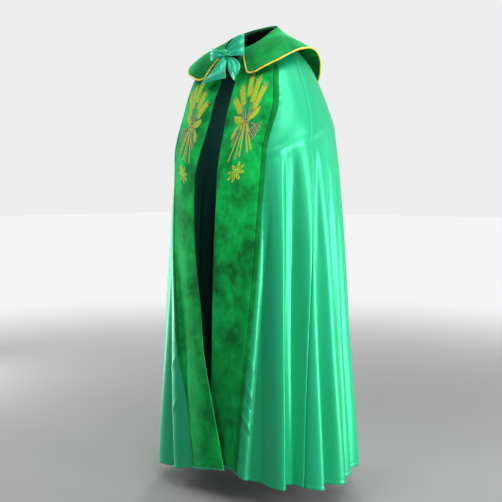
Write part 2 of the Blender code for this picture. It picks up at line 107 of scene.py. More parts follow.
Fold = namedtuple("Fold", "top_angle hem_angle half_width depth start")
FOLDS = (
    Fold(50.0, 34.0, 10.0, 0.016, 0.98),
    Fold(60.0, 58.5, 9.8, 0.052, 1.05),
    Fold(79.0, 78.5, 9.4, 0.060, 1.08),
    Fold(94.0, 95.0, 8.0, 0.057, 1.09),
    Fold(105.0, 106.5, 7.0, 0.046, 1.09),
    Fold(118.5, 119.5, 9.0, 0.056, 1.09),
    Fold(136.0, 141.0, 11.0, 0.064, 1.12),
    Fold(159.0, 163.5, 11.5, 0.052, 1.16),
    Fold(182.0, 186.5, 11.5, 0.066, 1.18),
    Fold(205.0, 209.0, 11.0, 0.054, 1.15),
    Fold(227.0, 231.5, 11.5, 0.064, 1.11),
    Fold(250.0, 254.5, 11.5, 0.060, 1.09),
    Fold(268.0, 277.0, 11.0, 0.054, 1.08),
    Fold(287.0, 299.0, 11.5, 0.064, 1.04),
    Fold(302.0, 323.0, 12.0, 0.034, 0.96),
)

HemLevel = namedtuple("HemLevel", "angle rise")
HEM_LEVELS = (
    HemLevel(-180.0, 0.000),
    HemLevel(-120.0, -0.020),
    HemLevel(-65.0, -0.046),
    HemLevel(-18.0, 0.000),
    HemLevel(18.0, 0.026),
    HemLevel(40.0, 0.004),
    HemLevel(65.0, 0.000),
    HemLevel(100.0, -0.014),
    HemLevel(125.0, 0.000),
    HemLevel(180.0, 0.000),
)

CollarEdge = namedtuple("CollarEdge", "angle reach height")
COLLAR_EDGE = (
    CollarEdge(38.0, 0.164, 1.272),
    CollarEdge(60.0, 0.212, 1.310),
    CollarEdge(82.0, 0.233, 1.352),
    CollarEdge(97.0, 0.228, 1.362),
    CollarEdge(121.0, 0.227, 1.340),
    CollarEdge(146.0, 0.232, 1.284),
    CollarEdge(180.0, 0.236, 1.240),
    CollarEdge(214.0, 0.232, 1.284),
)
COLLAR_NECK_ANGLE = 26.0
COLLAR_BULGE = 0.006
BACK_BULGE = 0.001
COLLAR_STAND = 0.006
CORNER_SPAN = 9.0
CORNER_CUT = 0.14

KNOT_CENTRE = (0.0, -0.124, -0.050)
KNOT_SIZE = (0.009, 0.009, 0.012)
LoopStation = namedtuple("LoopStation", "out forward top bottom")
LOOP_RUN = (
    LoopStation(0.011, 0.006, 0.010, -0.008),
    LoopStation(0.028, 0.012, 0.026, -0.012),
    LoopStation(0.052, 0.013, 0.042, -0.015),
    LoopStation(0.074, 0.009, 0.049, -0.016),
    LoopStation(0.081, 0.005, 0.048, -0.016),
    LoopStation(0.074, 0.001, 0.045, -0.015),
    LoopStation(0.052, -0.001, 0.036, -0.013),
    LoopStation(0.028, -0.002, 0.020, -0.010),
    LoopStation(0.011, -0.003, 0.008, -0.007),
)
LEFT_LOOP_SCALE = (1.00, 1.00, 1.00)
RIGHT_LOOP_SCALE = (0.76, 0.90, 0.42)
TailStation = namedtuple("TailStation", "x_outer z_outer x_inner z_inner forward")
RIGHT_TAIL = (
    TailStation(-0.009, -0.013, 0.007, -0.014, 0.002),
    TailStation(-0.028, -0.034, 0.013, -0.036, 0.012),
    TailStation(-0.048, -0.056, 0.018, -0.058, 0.020),
    TailStation(-0.066, -0.075, 0.021, -0.071, 0.024),
    TailStation(-0.083, -0.091, 0.020, -0.082, 0.026),
)
LEFT_TAIL = (
    TailStation(0.017, -0.012, 0.009, -0.014, 0.001),
    TailStation(0.046, -0.022, 0.013, -0.030, 0.006),
    TailStation(0.066, -0.040, 0.024, -0.054, 0.011),
    TailStation(0.073, -0.058, 0.035, -0.076, 0.014),
    TailStation(0.066, -0.072, 0.050, -0.094, 0.016),
)
TAIL_CURL = 0.007
TAIL_WAVE = 0.0026
LOOP_GATHERS = (2.6, 0.0038, 0.22)  # pleats across, their depth, and how far they run
TAIL_GATHERS = (2.2, 0.0040, 0.50)

# Creases of the satin: soft ridges, or troughs where depth is negative, each between two places.
Crease = namedtuple("Crease", "from_angle from_height to_angle to_height width depth")
CREASES = (
    Crease(44.0, 1.008, 112.0, 1.139, 0.0060, 0.0026),
    Crease(44.0, 0.986, 112.0, 1.117, 0.010, -0.0014),
    Crease(51.0, 1.035, 50.0, 0.640, 0.010, -0.0030),
    Crease(70.0, 1.060, 69.5, 0.640, 0.009, -0.0036),
    Crease(87.0, 1.080, 87.0, 0.660, 0.008, -0.0036),
    Crease(100.5, 1.090, 101.0, 0.680, 0.007, -0.0034),
    Crease(111.5, 1.100, 112.5, 0.680, 0.007, -0.0034),
    Crease(70.0, 0.900, 70.0, 0.020, 0.012, -0.0060),
    Crease(88.0, 0.900, 88.0, 0.020, 0.011, -0.0060),
    Crease(101.5, 0.900, 102.0, 0.020, 0.009, -0.0060),
    Crease(112.5, 0.900, 113.0, 0.020, 0.009, -0.0060),
    Crease(93.0, 1.290, 91.0, 1.120, 0.015, 0.0022),
    Crease(33.0, 0.330, 45.0, 0.240, 0.006, 0.0026),
    Crease(34.0, 0.280, 43.0, 0.210, 0.005, -0.0020),
    Crease(30.5, 0.225, 42.0, 0.150, 0.005, 0.0032),
    Crease(31.0, 0.195, 40.0, 0.135, 0.005, -0.0022),
    Crease(36.5, 0.420, 44.0, 0.330, 0.008, 0.0018),
    Crease(-44.0, 1.006, -112.0, 1.135, 0.006, 0.0032),
    Crease(-45.0, 0.984, -112.0, 1.112, 0.010, -0.0022),
    Crease(-65.0, 1.050, -64.0, 0.640, 0.010, -0.0034),
    Crease(-82.0, 1.070, -80.0, 0.660, 0.010, -0.0036),
    Crease(-101.0, 1.090, -98.0, 0.680, 0.010, -0.0036),
    Crease(-64.5, 0.900, -63.5, 0.020, 0.012, -0.0060),
    Crease(-81.0, 0.900, -79.5, 0.020, 0.011, -0.0060),
    Crease(-99.0, 0.900, -97.5, 0.020, 0.010, -0.0060),
    Crease(-72.0, 1.200, -66.0, 1.070, 0.014, 0.0024),
    Crease(-92.0, 1.270, -90.0, 1.120, 0.015, 0.0022),
    Crease(-36.0, 0.400, -47.0, 0.310, 0.007, 0.0022),
    Crease(-33.0, 0.250, -44.0, 0.170, 0.006, 0.0028),
    Crease(-150.0, 1.180, -120.0, 1.110, 0.014, 0.0036),
    Crease(150.0, 1.175, 121.0, 1.115, 0.014, 0.0036),
    Crease(168.0, 1.240, 164.0, 1.050, 0.012, -0.0030),
    Crease(-166.0, 1.230, -163.0, 1.060, 0.012, -0.0030),
    Crease(148.0, 1.130, 149.0, 0.930, 0.009, -0.0036),
    Crease(-141.0, 1.120, -141.0, 0.930, 0.009, -0.0036),
    Crease(127.0, 1.110, 128.0, 0.920, 0.008, -0.0036),
    Crease(-117.0, 1.110, -118.0, 0.930, 0.008, -0.0036),
    Crease(178.0, 0.900, 176.0, 0.560, 0.012, -0.0030),
    Crease(-155.0, 0.700, -157.0, 0.300, 0.014, 0.0030),
    Crease(154.0, 0.620, 156.0, 0.250, 0.014, 0.0030),
)
CREASE_ARM = 0.26            # metres of cloth to a radian, for measuring creases

# Narrow folds between the large ones, each over a stretch of height.
SideFold = namedtuple("SideFold", "angle lean half_width depth top bottom")
SIDE_FOLDS = (
    SideFold(124.0, 3.0, 3.0, 0.0050, 0.90, 0.20),
    SideFold(143.0, 3.0, 3.0, 0.0060, 0.95, 0.30),
    SideFold(171.0, 4.0, 3.2, 0.0060, 1.00, 0.20),
    SideFold(196.0, 3.0, 3.0, 0.0060, 0.90, 0.10),
    SideFold(219.0, 4.0, 3.0, 0.0060, 0.98, 0.35),
    SideFold(243.0, 4.0, 3.0, 0.0050, 0.92, 0.15),
    SideFold(263.0, 5.0, 2.6, 0.0050, 0.95, 0.40),
    SideFold(281.0, 7.0, 2.6, 0.0050, 0.90, 0.25),
)

FOLD_SPAN = 0.82
FOLD_LEAN = 0.42
FOLD_GROWTH = 0.7
SLOW_START = 0.05
VALLEY_ROUND = 0.16
RIDGE_FULL = math.sqrt(1.0 + VALLEY_ROUND**2) - VALLEY_ROUND
PUCKER_REACH = 0.030         # how far the puckers of a seam run into the satin
PUCKER_DEPTH = 0.0006
PUCKER_WAVES = ((0.027, 1.0, 0.3), (0.041, 0.7, 1.9), (0.018, 0.5, 4.1))
HEM_TURN = 0.013             # depth of the stitched hem
ROLL_WAVES = 12
SURFACE_SEED = 7

# Camera and light
CAMERA_AZIMUTH = 40.25
CAMERA_DISTANCE = 2.418
CAMERA_HEIGHT = -0.501
CAMERA_PITCH = 4.45
FRAME_PIXELS = 502
FOCAL_PIXELS = 715.1
SENSOR_WIDTH = 36.0
FLOOR_CLEARANCE = 0.05
FLOOR_COLOUR = (0.27, 0.27, 0.27)
FLOOR_SIZE = 30.0
FLOOR_GLOW_RANGE = (1.6, 5.0, 0.0, 0.85)

# The studio is brightest behind the garment, seen from the camera: cosines, then strengths.
WORLD_RANGE = (-0.1, 0.75, 0.10, 0.85)
ZENITH_RANGE = (0.62, 0.92, 0.0, 0.55)
LIGHT_AIM = (0.0, 0.0, -0.6)
Light = namedtuple("Light", "name azimuth elevation distance size watts spread")
LIGHTS = (
    Light("right_strip", 92.0, -3.0, 2.6, (0.7, 1.5), 62.0, 180.0),
    Light("right_rear", 138.0, -3.0, 2.6, (0.7, 1.5), 11.0, 180.0),
    Light("front_high", 0.0, 45.0, 2.6, (0.8, 1.2), 18.0, 180.0),
    Light("right_high", 58.0, 50.0, 2.6, (0.8, 1.2), 28.0, 180.0),
    Light("rear_high", 120.0, 50.0, 2.6, (0.8, 1.2), 8.0, 180.0),
    Light("left_strip", -84.0, -3.0, 2.6, (0.5, 1.5), 32.0, 180.0),
    Light("rear", 215.0, 30.0, 3.6, (0.8, 2.0), 16.0, 90.0),
)

# Base colours, as linear red, green and blue.
SATIN_DARK, SATIN_LIGHT = (0.003, 0.43, 0.170), (0.008, 0.54, 0.260)
VELVET_DARK = (0.001, 0.13, 0.022)
VELVET_MIDDLE = (0.002, 0.40, 0.065)
VELVET_BRIGHT = (0.006, 0.64, 0.12)
EDGING_MIDDLE = (0.002, 0.20, 0.035)
COLLAR_DARK = (0.002, 0.14, 0.025)
COLLAR_MIDDLE = (0.004, 0.24, 0.045)
COLLAR_BRIGHT = (0.010, 0.36, 0.08)
RIBBON_DARK, RIBBON_LIGHT = (0.015, 0.50, 0.27), (0.030, 0.66, 0.38)
PIPING_RAMP = ((0.25, (0.62, 0.44, 0.01)), (0.6, (0.90, 0.72, 0.03)), (0.85, (1.0, 0.86, 0.12)))
SATIN_ROUGHNESS = 0.42

# The cut of each sheet: its piece, width and length in metres, and area in square metres.
Cut = namedtuple("Cut", "piece width length area")


# Curves and surfaces

def smooth_curve(places, values, at):
    """A curve through the given values that never overshoots them."""
    places, values = np.asarray(places, float), np.asarray(values, float)
    at = np.clip(at, places[0], places[-1])
    spans = np.diff(places)
    slopes = np.diff(values) / spans
    tangents = np.empty(len(places))
    tangents[0], tangents[-1] = slopes[0], slopes[-1]
    before, after = slopes[:-1], slopes[1:]
    total = np.where(before + after == 0, 1.0, before + after)
    tangents[1:-1] = np.where(before * after > 0, 2 * before * after / total, 0.0)
    k = np.clip(np.searchsorted(places, at, side="right") - 1, 0, len(spans) - 1)
    t = (at - places[k]) / spans[k]
    return (
        (2 * t**3 - 3 * t**2 + 1) * values[k]
        + (t**3 - 2 * t**2 + t) * spans[k] * tangents[k]
        + (3 * t**2 - 2 * t**3) * values[k + 1]
        + (t**3 - t**2) * spans[k] * tangents[k + 1]
    )


def column_at(table, place_column, value_column, at):
    places = [getattr(row, place_column) for row in table]
    return smooth_curve(places, [getattr(row, value_column) for row in table], at)


def ease(t):
    t = np.clip(t, 0.0, 1.0)
    return t * t * (3 - 2 * t)


def wrapped(angle):
    return (angle + 180.0) % 360.0 - 180.0


def fold_rise(angle, height):
    """Round ridges that fall off more steeply at the rear."""
    rise = np.zeros_like(angle)
    for fold in FOLDS:
        grown = np.clip((fold.start - height) / fold.start, 0.0, 1.0)
        crest = fold.top_angle + (fold.hem_angle - fold.top_angle) * grown
        away = wrapped(angle - crest) / fold.half_width
        lean = FOLD_LEAN * math.sin(math.radians(fold.top_angle)) * np.sign(away)
        arch = np.cos(0.5 * math.pi * np.clip(away / (FOLD_SPAN - lean), -1.0, 1.0))
        profile = (np.sqrt(arch**2 + VALLEY_ROUND**2) - VALLEY_ROUND) / RIDGE_FULL
        growth = np.sin(0.5 * math.pi * grown**2 / (grown + SLOW_START)) ** FOLD_GROWTH
        rise += fold.depth * growth * profile
    return rise


def side_fold_rise(angle, height):
    rise = np.zeros_like(angle)
    for fold in SIDE_FOLDS:
        along = np.clip((fold.top - height) / (fold.top - fold.bottom), 0.0, 1.0)
        away = np.clip(wrapped(angle - fold.angle - fold.lean * along) / fold.half_width, -1.0, 1.0)
        rise += fold.depth * np.sin(math.pi * along) * (0.5 + 0.5 * np.cos(math.pi * away))
    return rise


def crease_rise(angle, height):
    rise = np.zeros_like(angle)
    for crease in CREASES:
        start = np.array((math.radians(crease.from_angle) * CREASE_ARM, crease.from_height))
        end = np.array((math.radians(crease.to_angle) * CREASE_ARM, crease.to_height))
        along = end - start
        length = np.linalg.norm(along)
        along /= length
        middle = 0.5 * (crease.from_angle + crease.to_angle)
        across = np.radians(wrapped(angle - middle) + middle) * CREASE_ARM - start[0]
        up = height - start[1]
        place = across * along[0] + up * along[1]
        aside = across * along[1] - up * along[0]
        taper = ease(place / (0.3 * length)) * ease((length - place) / (0.3 * length))
        rise += crease.depth * taper * np.exp(-((aside / crease.width) ** 2))
    return rise


def cloth_drift(angle, height):
    """Slow unevenness of hanging cloth: long waves down, short waves round."""
    rng = np.random.default_rng(SURFACE_SEED)
    drift = np.zeros_like(angle)
    for _ in range(ROLL_WAVES):
        turns = rng.integers(5, 26)
        down = rng.uniform(1.0, 5.0)
        phase = rng.uniform(0, 2 * math.pi)
        drift += np.sin(np.radians(angle) * turns + height * down + phase) / ROLL_WAVES
    return 0.0045 * drift * ease((1.25 - height) / 0.4)


def lap_rise(side, angle, height):
    if side == BACK:
        return np.zeros_like(angle)
    low = ease((LAP_TOP - height) / (LAP_TOP - LAP_FULL))
    near = np.cos(0.5 * math.pi * np.clip(wrapped(angle) / LAP_REACH, -1.0, 1.0)) ** 2
    return -side * LAP_RISE * low * near


def surface(side, angle, drop, fine=False):
    """Points of the satin's outer face for arrays of angles and drops."""
    angle, drop = np.broadcast_arrays(np.asarray(angle, float), np.asarray(drop, float))
    value = {
        name: column_at(RINGS, "drop", name, drop) for name in Ring._fields if name not in ("name", "drop")
    }
    turn = np.radians(angle)
    across, along = np.abs(np.sin(turn)), np.cos(turn)
    forward = along > 0
    depth = np.where(forward, value["front"], value["back"])
    roundness = np.where(forward, value["front_round"], value["back_round"])
    end_up = np.where(forward, value["front_height"], value["back_height"])
    reach = (
        (across / value["half_width"]) ** roundness + (np.abs(along) / depth) ** roundness
    ) ** (-1.0 / roundness)
    flatness = 1.0 + ease(drop / TILT_DROP)
    height = value["side_height"] + (end_up - value["side_height"]) * np.abs(along) ** flatness
    reach = reach + fold_rise(angle, height) + lap_rise(side, angle, height)
    if fine:
        reach = reach + side_fold_rise(angle, height) + crease_rise(angle, height)
        reach = reach + cloth_drift(angle, height)
    level = column_at(HEM_LEVELS, "angle", "rise", wrapped(angle))
    height = height + level * ease(drop) ** 2
    return np.stack([reach * np.sin(turn), -reach * np.cos(turn), height - NECK_HEIGHT], axis=-1)


def grid_normals(points):
    """Unit normals of a grid of points, turned away from the axis on the whole."""
    normals = np.cross(np.gradient(points, axis=1), np.gradient(points, axis=0))
    normals /= np.maximum(np.linalg.norm(normals, axis=2, keepdims=True), 1e-12)
    outward = (normals[..., :2] * points[..., :2]).sum()
    return normals if outward > 0 else -normals


def front_angles(side, drops, lengths, seam_shares):
    """For each drop, the angles at the lengths along the cloth from the front edge, then at the
    shares of the way from the last of those to the side seam."""
    name = "left" if side == LEFT else "right"
    start = column_at(EDGE_LINES, "drop", f"{name}_edge", drops)
    seam = column_at(EDGE_LINES, "drop", f"{name}_seam", drops)
    share = column_at(EDGE_LINES, "drop", "band_share", drops)
    steps = np.linspace(0.0, 80.0, 161)
    tried = start[:, None] + side * steps[None, :]
    points = surface(side, tried, drops[:, None])
    run = run_across(points)
    rows = []
    for k in range(len(drops)):
        angles = np.interp(np.asarray(lengths) * share[k], run[k], tried[k])
        more = angles[-1] + (seam[k] - angles[-1]) * np.asarray(seam_shares)
        rows.append(np.concatenate([angles, more]))
    return np.array(rows)


# Meshes

def grid_faces(rows, columns, offset=0):
    index = offset + np.arange(rows * columns).reshape(rows, columns)
    return np.stack([index[:-1, :-1], index[1:, :-1], index[1:, 1:], index[:-1, 1:]], axis=-1).reshape(-1, 4)


def faces_outwards(points, faces, inside):
    """The faces, turned to look away from the inside point or points."""
    a, b, c = (points[faces[:, k]] for k in (0, 1, 2))
    return faces[:, ::-1] if (np.cross(b - a, c - a) * (a - inside)).sum() < 0 else faces


def mesh_object(name, vertices, faces, materials, face_materials=None, uv=None):
    """A smooth shaded mesh of quads, riding on the root."""
    mesh = bpy.data.meshes.new(name)
    mesh.vertices.add(len(vertices))
    mesh.vertices.foreach_set("co", np.asarray(vertices, np.float32).ravel())
    faces = np.asarray(faces, np.int32)
    mesh.loops.add(faces.size)
    mesh.loops.foreach_set("vertex_index", faces.ravel())
    mesh.polygons.add(len(faces))
    mesh.polygons.foreach_set("loop_start", np.arange(0, faces.size, 4, dtype=np.int32))
    if uv is not None:
        layer = mesh.uv_layers.new(name="cloth")
        layer.data.foreach_set("uv", np.asarray(uv, np.float32)[faces.ravel()].ravel())
    for material in materials:
        mesh.materials.append(material)
    if face_materials is not None:
        mesh.polygons.foreach_set("material_index", np.asarray(face_materials, np.int32))
    mesh.update(calc_edges=True)
    mesh.validate()
    mesh.shade_smooth()
    made = bpy.data.objects.new(name, mesh)
    bpy.context.scene.collection.objects.link(made)
    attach(made, "root")
    return made


def shell_object(name, outer, inner, materials, uv=None, inner_material=0):
    """A closed wall between two grids: outer faces, inner faces and the rim between them."""
    rows, columns = outer.shape[:2]
    count = rows * columns
    vertices = np.concatenate([outer.reshape(-1, 3), inner.reshape(-1, 3)])
    front = grid_faces(rows, columns)
    back = grid_faces(rows, columns, count)[:, ::-1]
    index = np.arange(count).reshape(rows, columns)
    rim = np.concatenate([index[0, :], index[1:, -1], index[-1, -2::-1], index[-2:0:-1, 0]])
    following = np.roll(rim, -1)
    sides = np.stack([rim, following, following + count, rim + count], axis=-1)
    faces = np.concatenate([front, back, sides])
    a, b, c = (vertices[front[:, k]] for k in (0, 1, 2))
    facing = np.cross(b - a, c - a)
    if (facing * (outer.reshape(-1, 3) - inner.reshape(-1, 3))[front[:, 0]]).sum() < 0:
        faces = faces[:, ::-1]
    kinds = np.concatenate([
        np.zeros(len(front)), np.full(len(back), inner_material), np.zeros(len(sides))
    ])
    if uv is not None:
        uv = np.concatenate([uv.reshape(-1, 2), uv.reshape(-1, 2)])
    return mesh_object(name, vertices, faces, materials, kinds, uv)


# Materials

class Finish:
    """A Principled material and short calls that add nodes to it."""

    def __init__(self, name, roughness):
        self.material = bpy.data.materials.new(name)
        self.material.use_nodes = True
        self.tree = self.material.node_tree
        self.shader = self.tree.nodes["Principled BSDF"]
        self.shader.inputs["Roughness"].default_value = roughness
        self.place = self.tree.nodes.new("ShaderNodeTexCoord").outputs["Object"]

    def set(self, **values):
        for name, value in values.items():
            self.shader.inputs[name.replace("_", " ")].default_value = value

    def join(self, value, socket):
        if isinstance(value, bpy.types.NodeSocket):
            self.tree.links.new(value, socket)
        else:
            socket.default_value = value

    def stretched(self, scale, place=None):
        node = self.tree.nodes.new("ShaderNodeMapping")
        node.inputs["Scale"].default_value = scale
        self.join(place or self.place, node.inputs["Vector"])
        return node.outputs["Vector"]

    def noise(self, scale, detail=2.0, place=None, distortion=0.0):
        node = self.tree.nodes.new("ShaderNodeTexNoise")
        node.inputs["Scale"].default_value = scale
        node.inputs["Detail"].default_value = detail
        node.inputs["Distortion"].default_value = distortion
        self.join(place or self.place, node.inputs["Vector"])
        return node.outputs["Fac"]

    def wave(self, scale, place, distortion=0.0, direction="X"):
        node = self.tree.nodes.new("ShaderNodeTexWave")
        node.bands_direction = direction
        node.inputs["Scale"].default_value = scale
        node.inputs["Distortion"].default_value = distortion
        self.join(place, node.inputs["Vector"])
        return node.outputs["Fac"]

    def uv(self):
        node = self.tree.nodes.new("ShaderNodeUVMap")
        node.uv_map = "cloth"
        return node.outputs["UV"]

    def maths(self, operation, first, second=0.0):
        node = self.tree.nodes.new("ShaderNodeMath")
        node.operation = operation
        self.join(first, node.inputs[0])
        self.join(second, node.inputs[1])
        return node.outputs["Value"]

    def scaled(self, value, factor, offset, clamp=False):
        result = self.maths("MULTIPLY_ADD", value, factor)
        result.node.inputs[2].default_value = offset
        result.node.use_clamp = clamp
        return result

    def mixed(self, first, share, second):
        """A share of the first value, and the rest of the second."""
        parts = (self.maths("MULTIPLY", first, share), self.maths("MULTIPLY", second, 1.0 - share))
        return self.maths("ADD", *parts)

    def height(self):
        """Metres above the neck opening."""
        node = self.tree.nodes.new("ShaderNodeSeparateXYZ")
        self.join(self.place, node.inputs["Vector"])
        return node.outputs["Z"]

    def ramp(self, factor, stops):
        node = self.tree.nodes.new("ShaderNodeValToRGB")
        elements = node.color_ramp.elements
        while len(elements) < len(stops):
            elements.new(0.5)
        for element, (position, colour) in zip(elements, stops):
            element.position = position
            element.color = (*colour, 1.0)
        self.join(factor, node.inputs["Fac"])
        return node.outputs["Color"]

    def blend(self, factor, first, second, mode="MIX"):
        node = self.tree.nodes.new("ShaderNodeMix")
        node.data_type = "RGBA"
        node.blend_type = mode
        self.join(factor, node.inputs["Factor"])
        self.join(first, node.inputs["A"])
        self.join(second, node.inputs["B"])
        return node.outputs["Result"]

    def colour(self, value):
        self.join(value, self.shader.inputs["Base Color"])

    def bumps(self, *layers):
        """Each layer is (height, strength, distance)."""
        normal = None
        for height, strength, distance in layers:
            node = self.tree.nodes.new("ShaderNodeBump")
            node.inputs["Strength"].default_value = strength
            node.inputs["Distance"].default_value = distance
            self.join(height, node.inputs["Height"])
            if normal is not None:
                self.join(normal, node.inputs["Normal"])
            normal = node.outputs["Normal"]
        self.join(normal, self.shader.inputs["Normal"])


def satin_finish(name, dark, light, gloss=0.0):
    finish = Finish(name, 0.36)
    patches = finish.noise(3.0, 3.0, finish.stretched((1.0, 1.0, 0.35)))
    finish.colour(finish.ramp(patches, ((0.3, dark), (0.7, light))))
    finish.set(Metallic=0.38, Specular_IOR_Level=0.8, Specular_Tint=(0.85, 1.0, 0.95, 1.0))
    finish.set(Anisotropic=0.5, Anisotropic_Rotation=0.25)
    threads = finish.noise(1.0, 2.0, finish.stretched((900.0, 900.0, 90.0)))
    slubs = finish.noise(1.0, 3.0, finish.stretched((120.0, 120.0, 22.0)))
    ripple = finish.noise(22.0, 2.0, finish.stretched((1.0, 1.0, 0.5)))
    finish.bumps((ripple, 0.16, 0.003), (slubs, 0.06, 0.0006), (threads, 0.10, 0.0002))
    roughness = finish.scaled(slubs, 0.10, SATIN_ROUGHNESS - gloss)
    finish.join(roughness, finish.shader.inputs["Roughness"])
    return finish.material


def velvet_finish(name, dark, middle, bright, painted_low_shade):
    finish = Finish(name, 0.92)
    brushed = finish.noise(13.0, 6.0, finish.stretched((1.0, 1.0, 0.75)), 0.25)
    crush = finish.noise(60.0, 5.0, finish.stretched((1.0, 1.0, 0.8)), 0.3)
    mixed = finish.mixed(brushed, 0.75, crush)
    pile = finish.ramp(mixed, ((0.36, dark), (0.5, middle), (0.64, bright)))
    # Painted shade: the pile is blended towards its dark colour lower down, more the further below the neck.
    low = finish.scaled(finish.height(), -0.62, -0.12, clamp=True)
    pile = finish.blend(finish.maths("MULTIPLY", low, painted_low_shade), pile, (*dark, 1.0))
    finish.colour(pile)
    finish.set(Sheen_Weight=0.55, Sheen_Roughness=0.45, Sheen_Tint=(0.06, 0.85, 0.33, 1.0))
    finish.set(Specular_IOR_Level=0.15)
    nap = finish.noise(1300.0, 2.0)
    finish.bumps((brushed, 0.25, 0.004), (crush, 0.25, 0.0012), (nap, 0.35, 0.0003))
    return finish.material


def lining_finish():
    finish = Finish("lining_dark", 0.85)
    weave = finish.noise(1.0, 1.0, finish.stretched((700.0, 700.0, 80.0)))
    cloth = finish.ramp(weave, ((0.3, (0.030, 0.16, 0.13)), (0.7, (0.045, 0.21, 0.17))))
    # Painted shade: near the neck opening the lining turns almost black.
    neck = finish.scaled(finish.height(), 4.0, 1.0, clamp=True)
    finish.colour(finish.blend(neck, cloth, (0.004, 0.012, 0.010, 1.0)))
    finish.set(Specular_IOR_Level=0.08)
    finish.bumps((weave, 0.1, 0.0002))
    return finish.material


def piping_finish():
    finish = Finish("piping_gold", 0.42)
    uv = finish.uv()
    twill = finish.wave(260.0, uv, 0.4, "DIAGONAL")
    wear = finish.noise(60.0, 3.0)
    finish.colour(finish.ramp(finish.mixed(twill, 0.35, wear), PIPING_RAMP))
    finish.set(Sheen_Weight=0.2, Specular_IOR_Level=0.6)
    finish.bumps((twill, 0.35, 0.0004))
    return finish.material


def thread_finish(name, dark, light, stitch=700.0):
    finish = Finish(name, 0.42)
    uv = finish.uv()
    stitches = finish.wave(stitch, uv, 0.6, "X")
    tone = finish.noise(220.0, 2.0)
    finish.colour(finish.ramp(finish.mixed(stitches, 0.5, tone), ((0.25, dark), (0.75, light))))
    finish.set(Specular_IOR_Level=0.4, Specular_Tint=(*light, 1.0))
    finish.bumps((stitches, 0.5, 0.0004))
    return finish.material


# The satin panels

def row_places(count):
    """Drops from the neckline to the hem, closer together at the hem."""
    hem_share = HEM_TURN * 1.6 / NECK_HEIGHT
    upper = np.linspace(0.0, 1.0 - hem_share, count - 9)
    lower = 1.0 - hem_share + hem_share * np.linspace(0.0, 1.0, 10)[1:]
    return np.concatenate([upper, lower])


def cloth_uv(points):
    """Metres across and down the cloth, for the weave."""
    down = np.linalg.norm(np.diff(points, axis=0), axis=2).mean(axis=1)
    down = np.concatenate([[0.0], np.cumsum(down)])
    across = np.linalg.norm(np.diff(points, axis=1), axis=2).mean(axis=0)
    across = np.concatenate([[0.0], np.cumsum(across)])
    return np.stack(np.meshgrid(across, down), axis=-1)


def hem_swell(points):
    """The turned hem: a little thicker than the cloth, with the stitched line pressed in above it."""
    steps = np.linalg.norm(np.diff(points, axis=0), axis=2)
    to_hem = np.concatenate([np.cumsum(steps[::-1], axis=0)[::-1], np.zeros((1, points.shape[1]))])
    turned = 0.0007 * ease((HEM_TURN - to_hem) / 0.002)
    stitched = 0.0009 * np.exp(-(((to_hem - HEM_TURN) / 0.0014) ** 2))
    rolled = 0.0009 * ease((0.0016 - to_hem) / 0.0016)
    return (turned - stitched - rolled)[..., None]


def seam_puckers(points, distance):
    """Small puckers that run into the satin from a sewn edge."""
    height = points[..., 2]
    waves = sum(
        share * np.sin(2 * math.pi * height / length + phase) for length, share, phase in PUCKER_WAVES
    )
    near = np.exp(-np.maximum(distance, 0.0) / (0.4 * PUCKER_REACH)) * (distance >= 0)
    gate = ease((1.30 - NECK_HEIGHT - height) / 0.08)
    return (PUCKER_DEPTH * waves * near * gate)[..., None]


SIDE_SEAM_DIP, SIDE_SEAM_REACH = 0.0012, 0.004


def seam_dip(distance):
    """How far the satin is drawn in beside a side seam."""
    return SIDE_SEAM_DIP * np.exp(-((distance / SIDE_SEAM_REACH) ** 2))[..., None]


def run_across(points):
    """Metres of cloth across each row, from its first point."""
    steps = np.linalg.norm(np.diff(points, axis=1), axis=2)
    return np.concatenate([np.zeros((len(points), 1)), np.cumsum(steps, axis=1)], axis=1)


def satin_shell(name, points, normals, rise, satin, lining):
    outer = points + normals * rise
    inner = outer - normals * SATIN_WALL
    return shell_object(name, outer, inner, [satin, lining], cloth_uv(points), 1)


def front_panel(side, name, satin, lining, columns, rows):
    drops = row_places(rows)
    band_end = BAND_WIDTH + STRIP_WIDTH
    lengths = np.linspace(0.0, band_end, 31)
    shares = np.linspace(0.0, 1.0, columns + 1)[1:] ** 1.12
    angles = front_angles(side, drops, lengths, shares)
    points = surface(side, angles, drops[:, None], fine=True)
    normals = grid_normals(points)
    run = run_across(points)
    from_band = run - run[:, len(lengths) - 1][:, None]
    from_seam = run[:, -1][:, None] - run
    rise = (
        seam_puckers(points, from_band)
        + 0.5 * seam_puckers(points, from_seam)
        - seam_dip(from_seam)
        + hem_swell(points)
    )
    return satin_shell(name, points, normals, rise, satin, lining)


def back_panel(name, satin, lining, columns, rows):
    drops = row_places(rows)
    start = column_at(EDGE_LINES, "drop", "left_seam", drops)
    end = column_at(EDGE_LINES, "drop", "right_seam", drops) + 360.0
    shares = np.linspace(0.0, 1.0, columns + 1)
    angles = start[:, None] + (end - start)[:, None] * shares[None, :]
    points = surface(BACK, angles, drops[:, None], fine=True)
    normals = grid_normals(points)
    run = run_across(points)
    beside = np.minimum(run, run[:, -1][:, None] - run)
    rise = 0.5 * seam_puckers(points, beside) - seam_dip(beside) + hem_swell(points)
    return satin_shell(name, points, normals, rise, satin, lining)


# Bands, and the surface that embroidery is laid on

def edge_round(lengths, first, last, radius):
    """How much of a wall's thickness is left near its two long edges."""
    inside = np.minimum(lengths - first, last - lengths)
    t = np.clip(inside / radius, 0.0, 1.0)
    return np.sqrt(1.0 - (1.0 - t) ** 2)


def close_to_edges(first, last, radius, columns):
    """Lengths across a piece, with extra ones where its edges round over."""
    near = radius * np.array((0.0, 0.08, 0.3, 0.65))
    middle = np.linspace(first + radius, last - radius, columns)
    return np.concatenate([first + near, middle, last - near[::-1]])


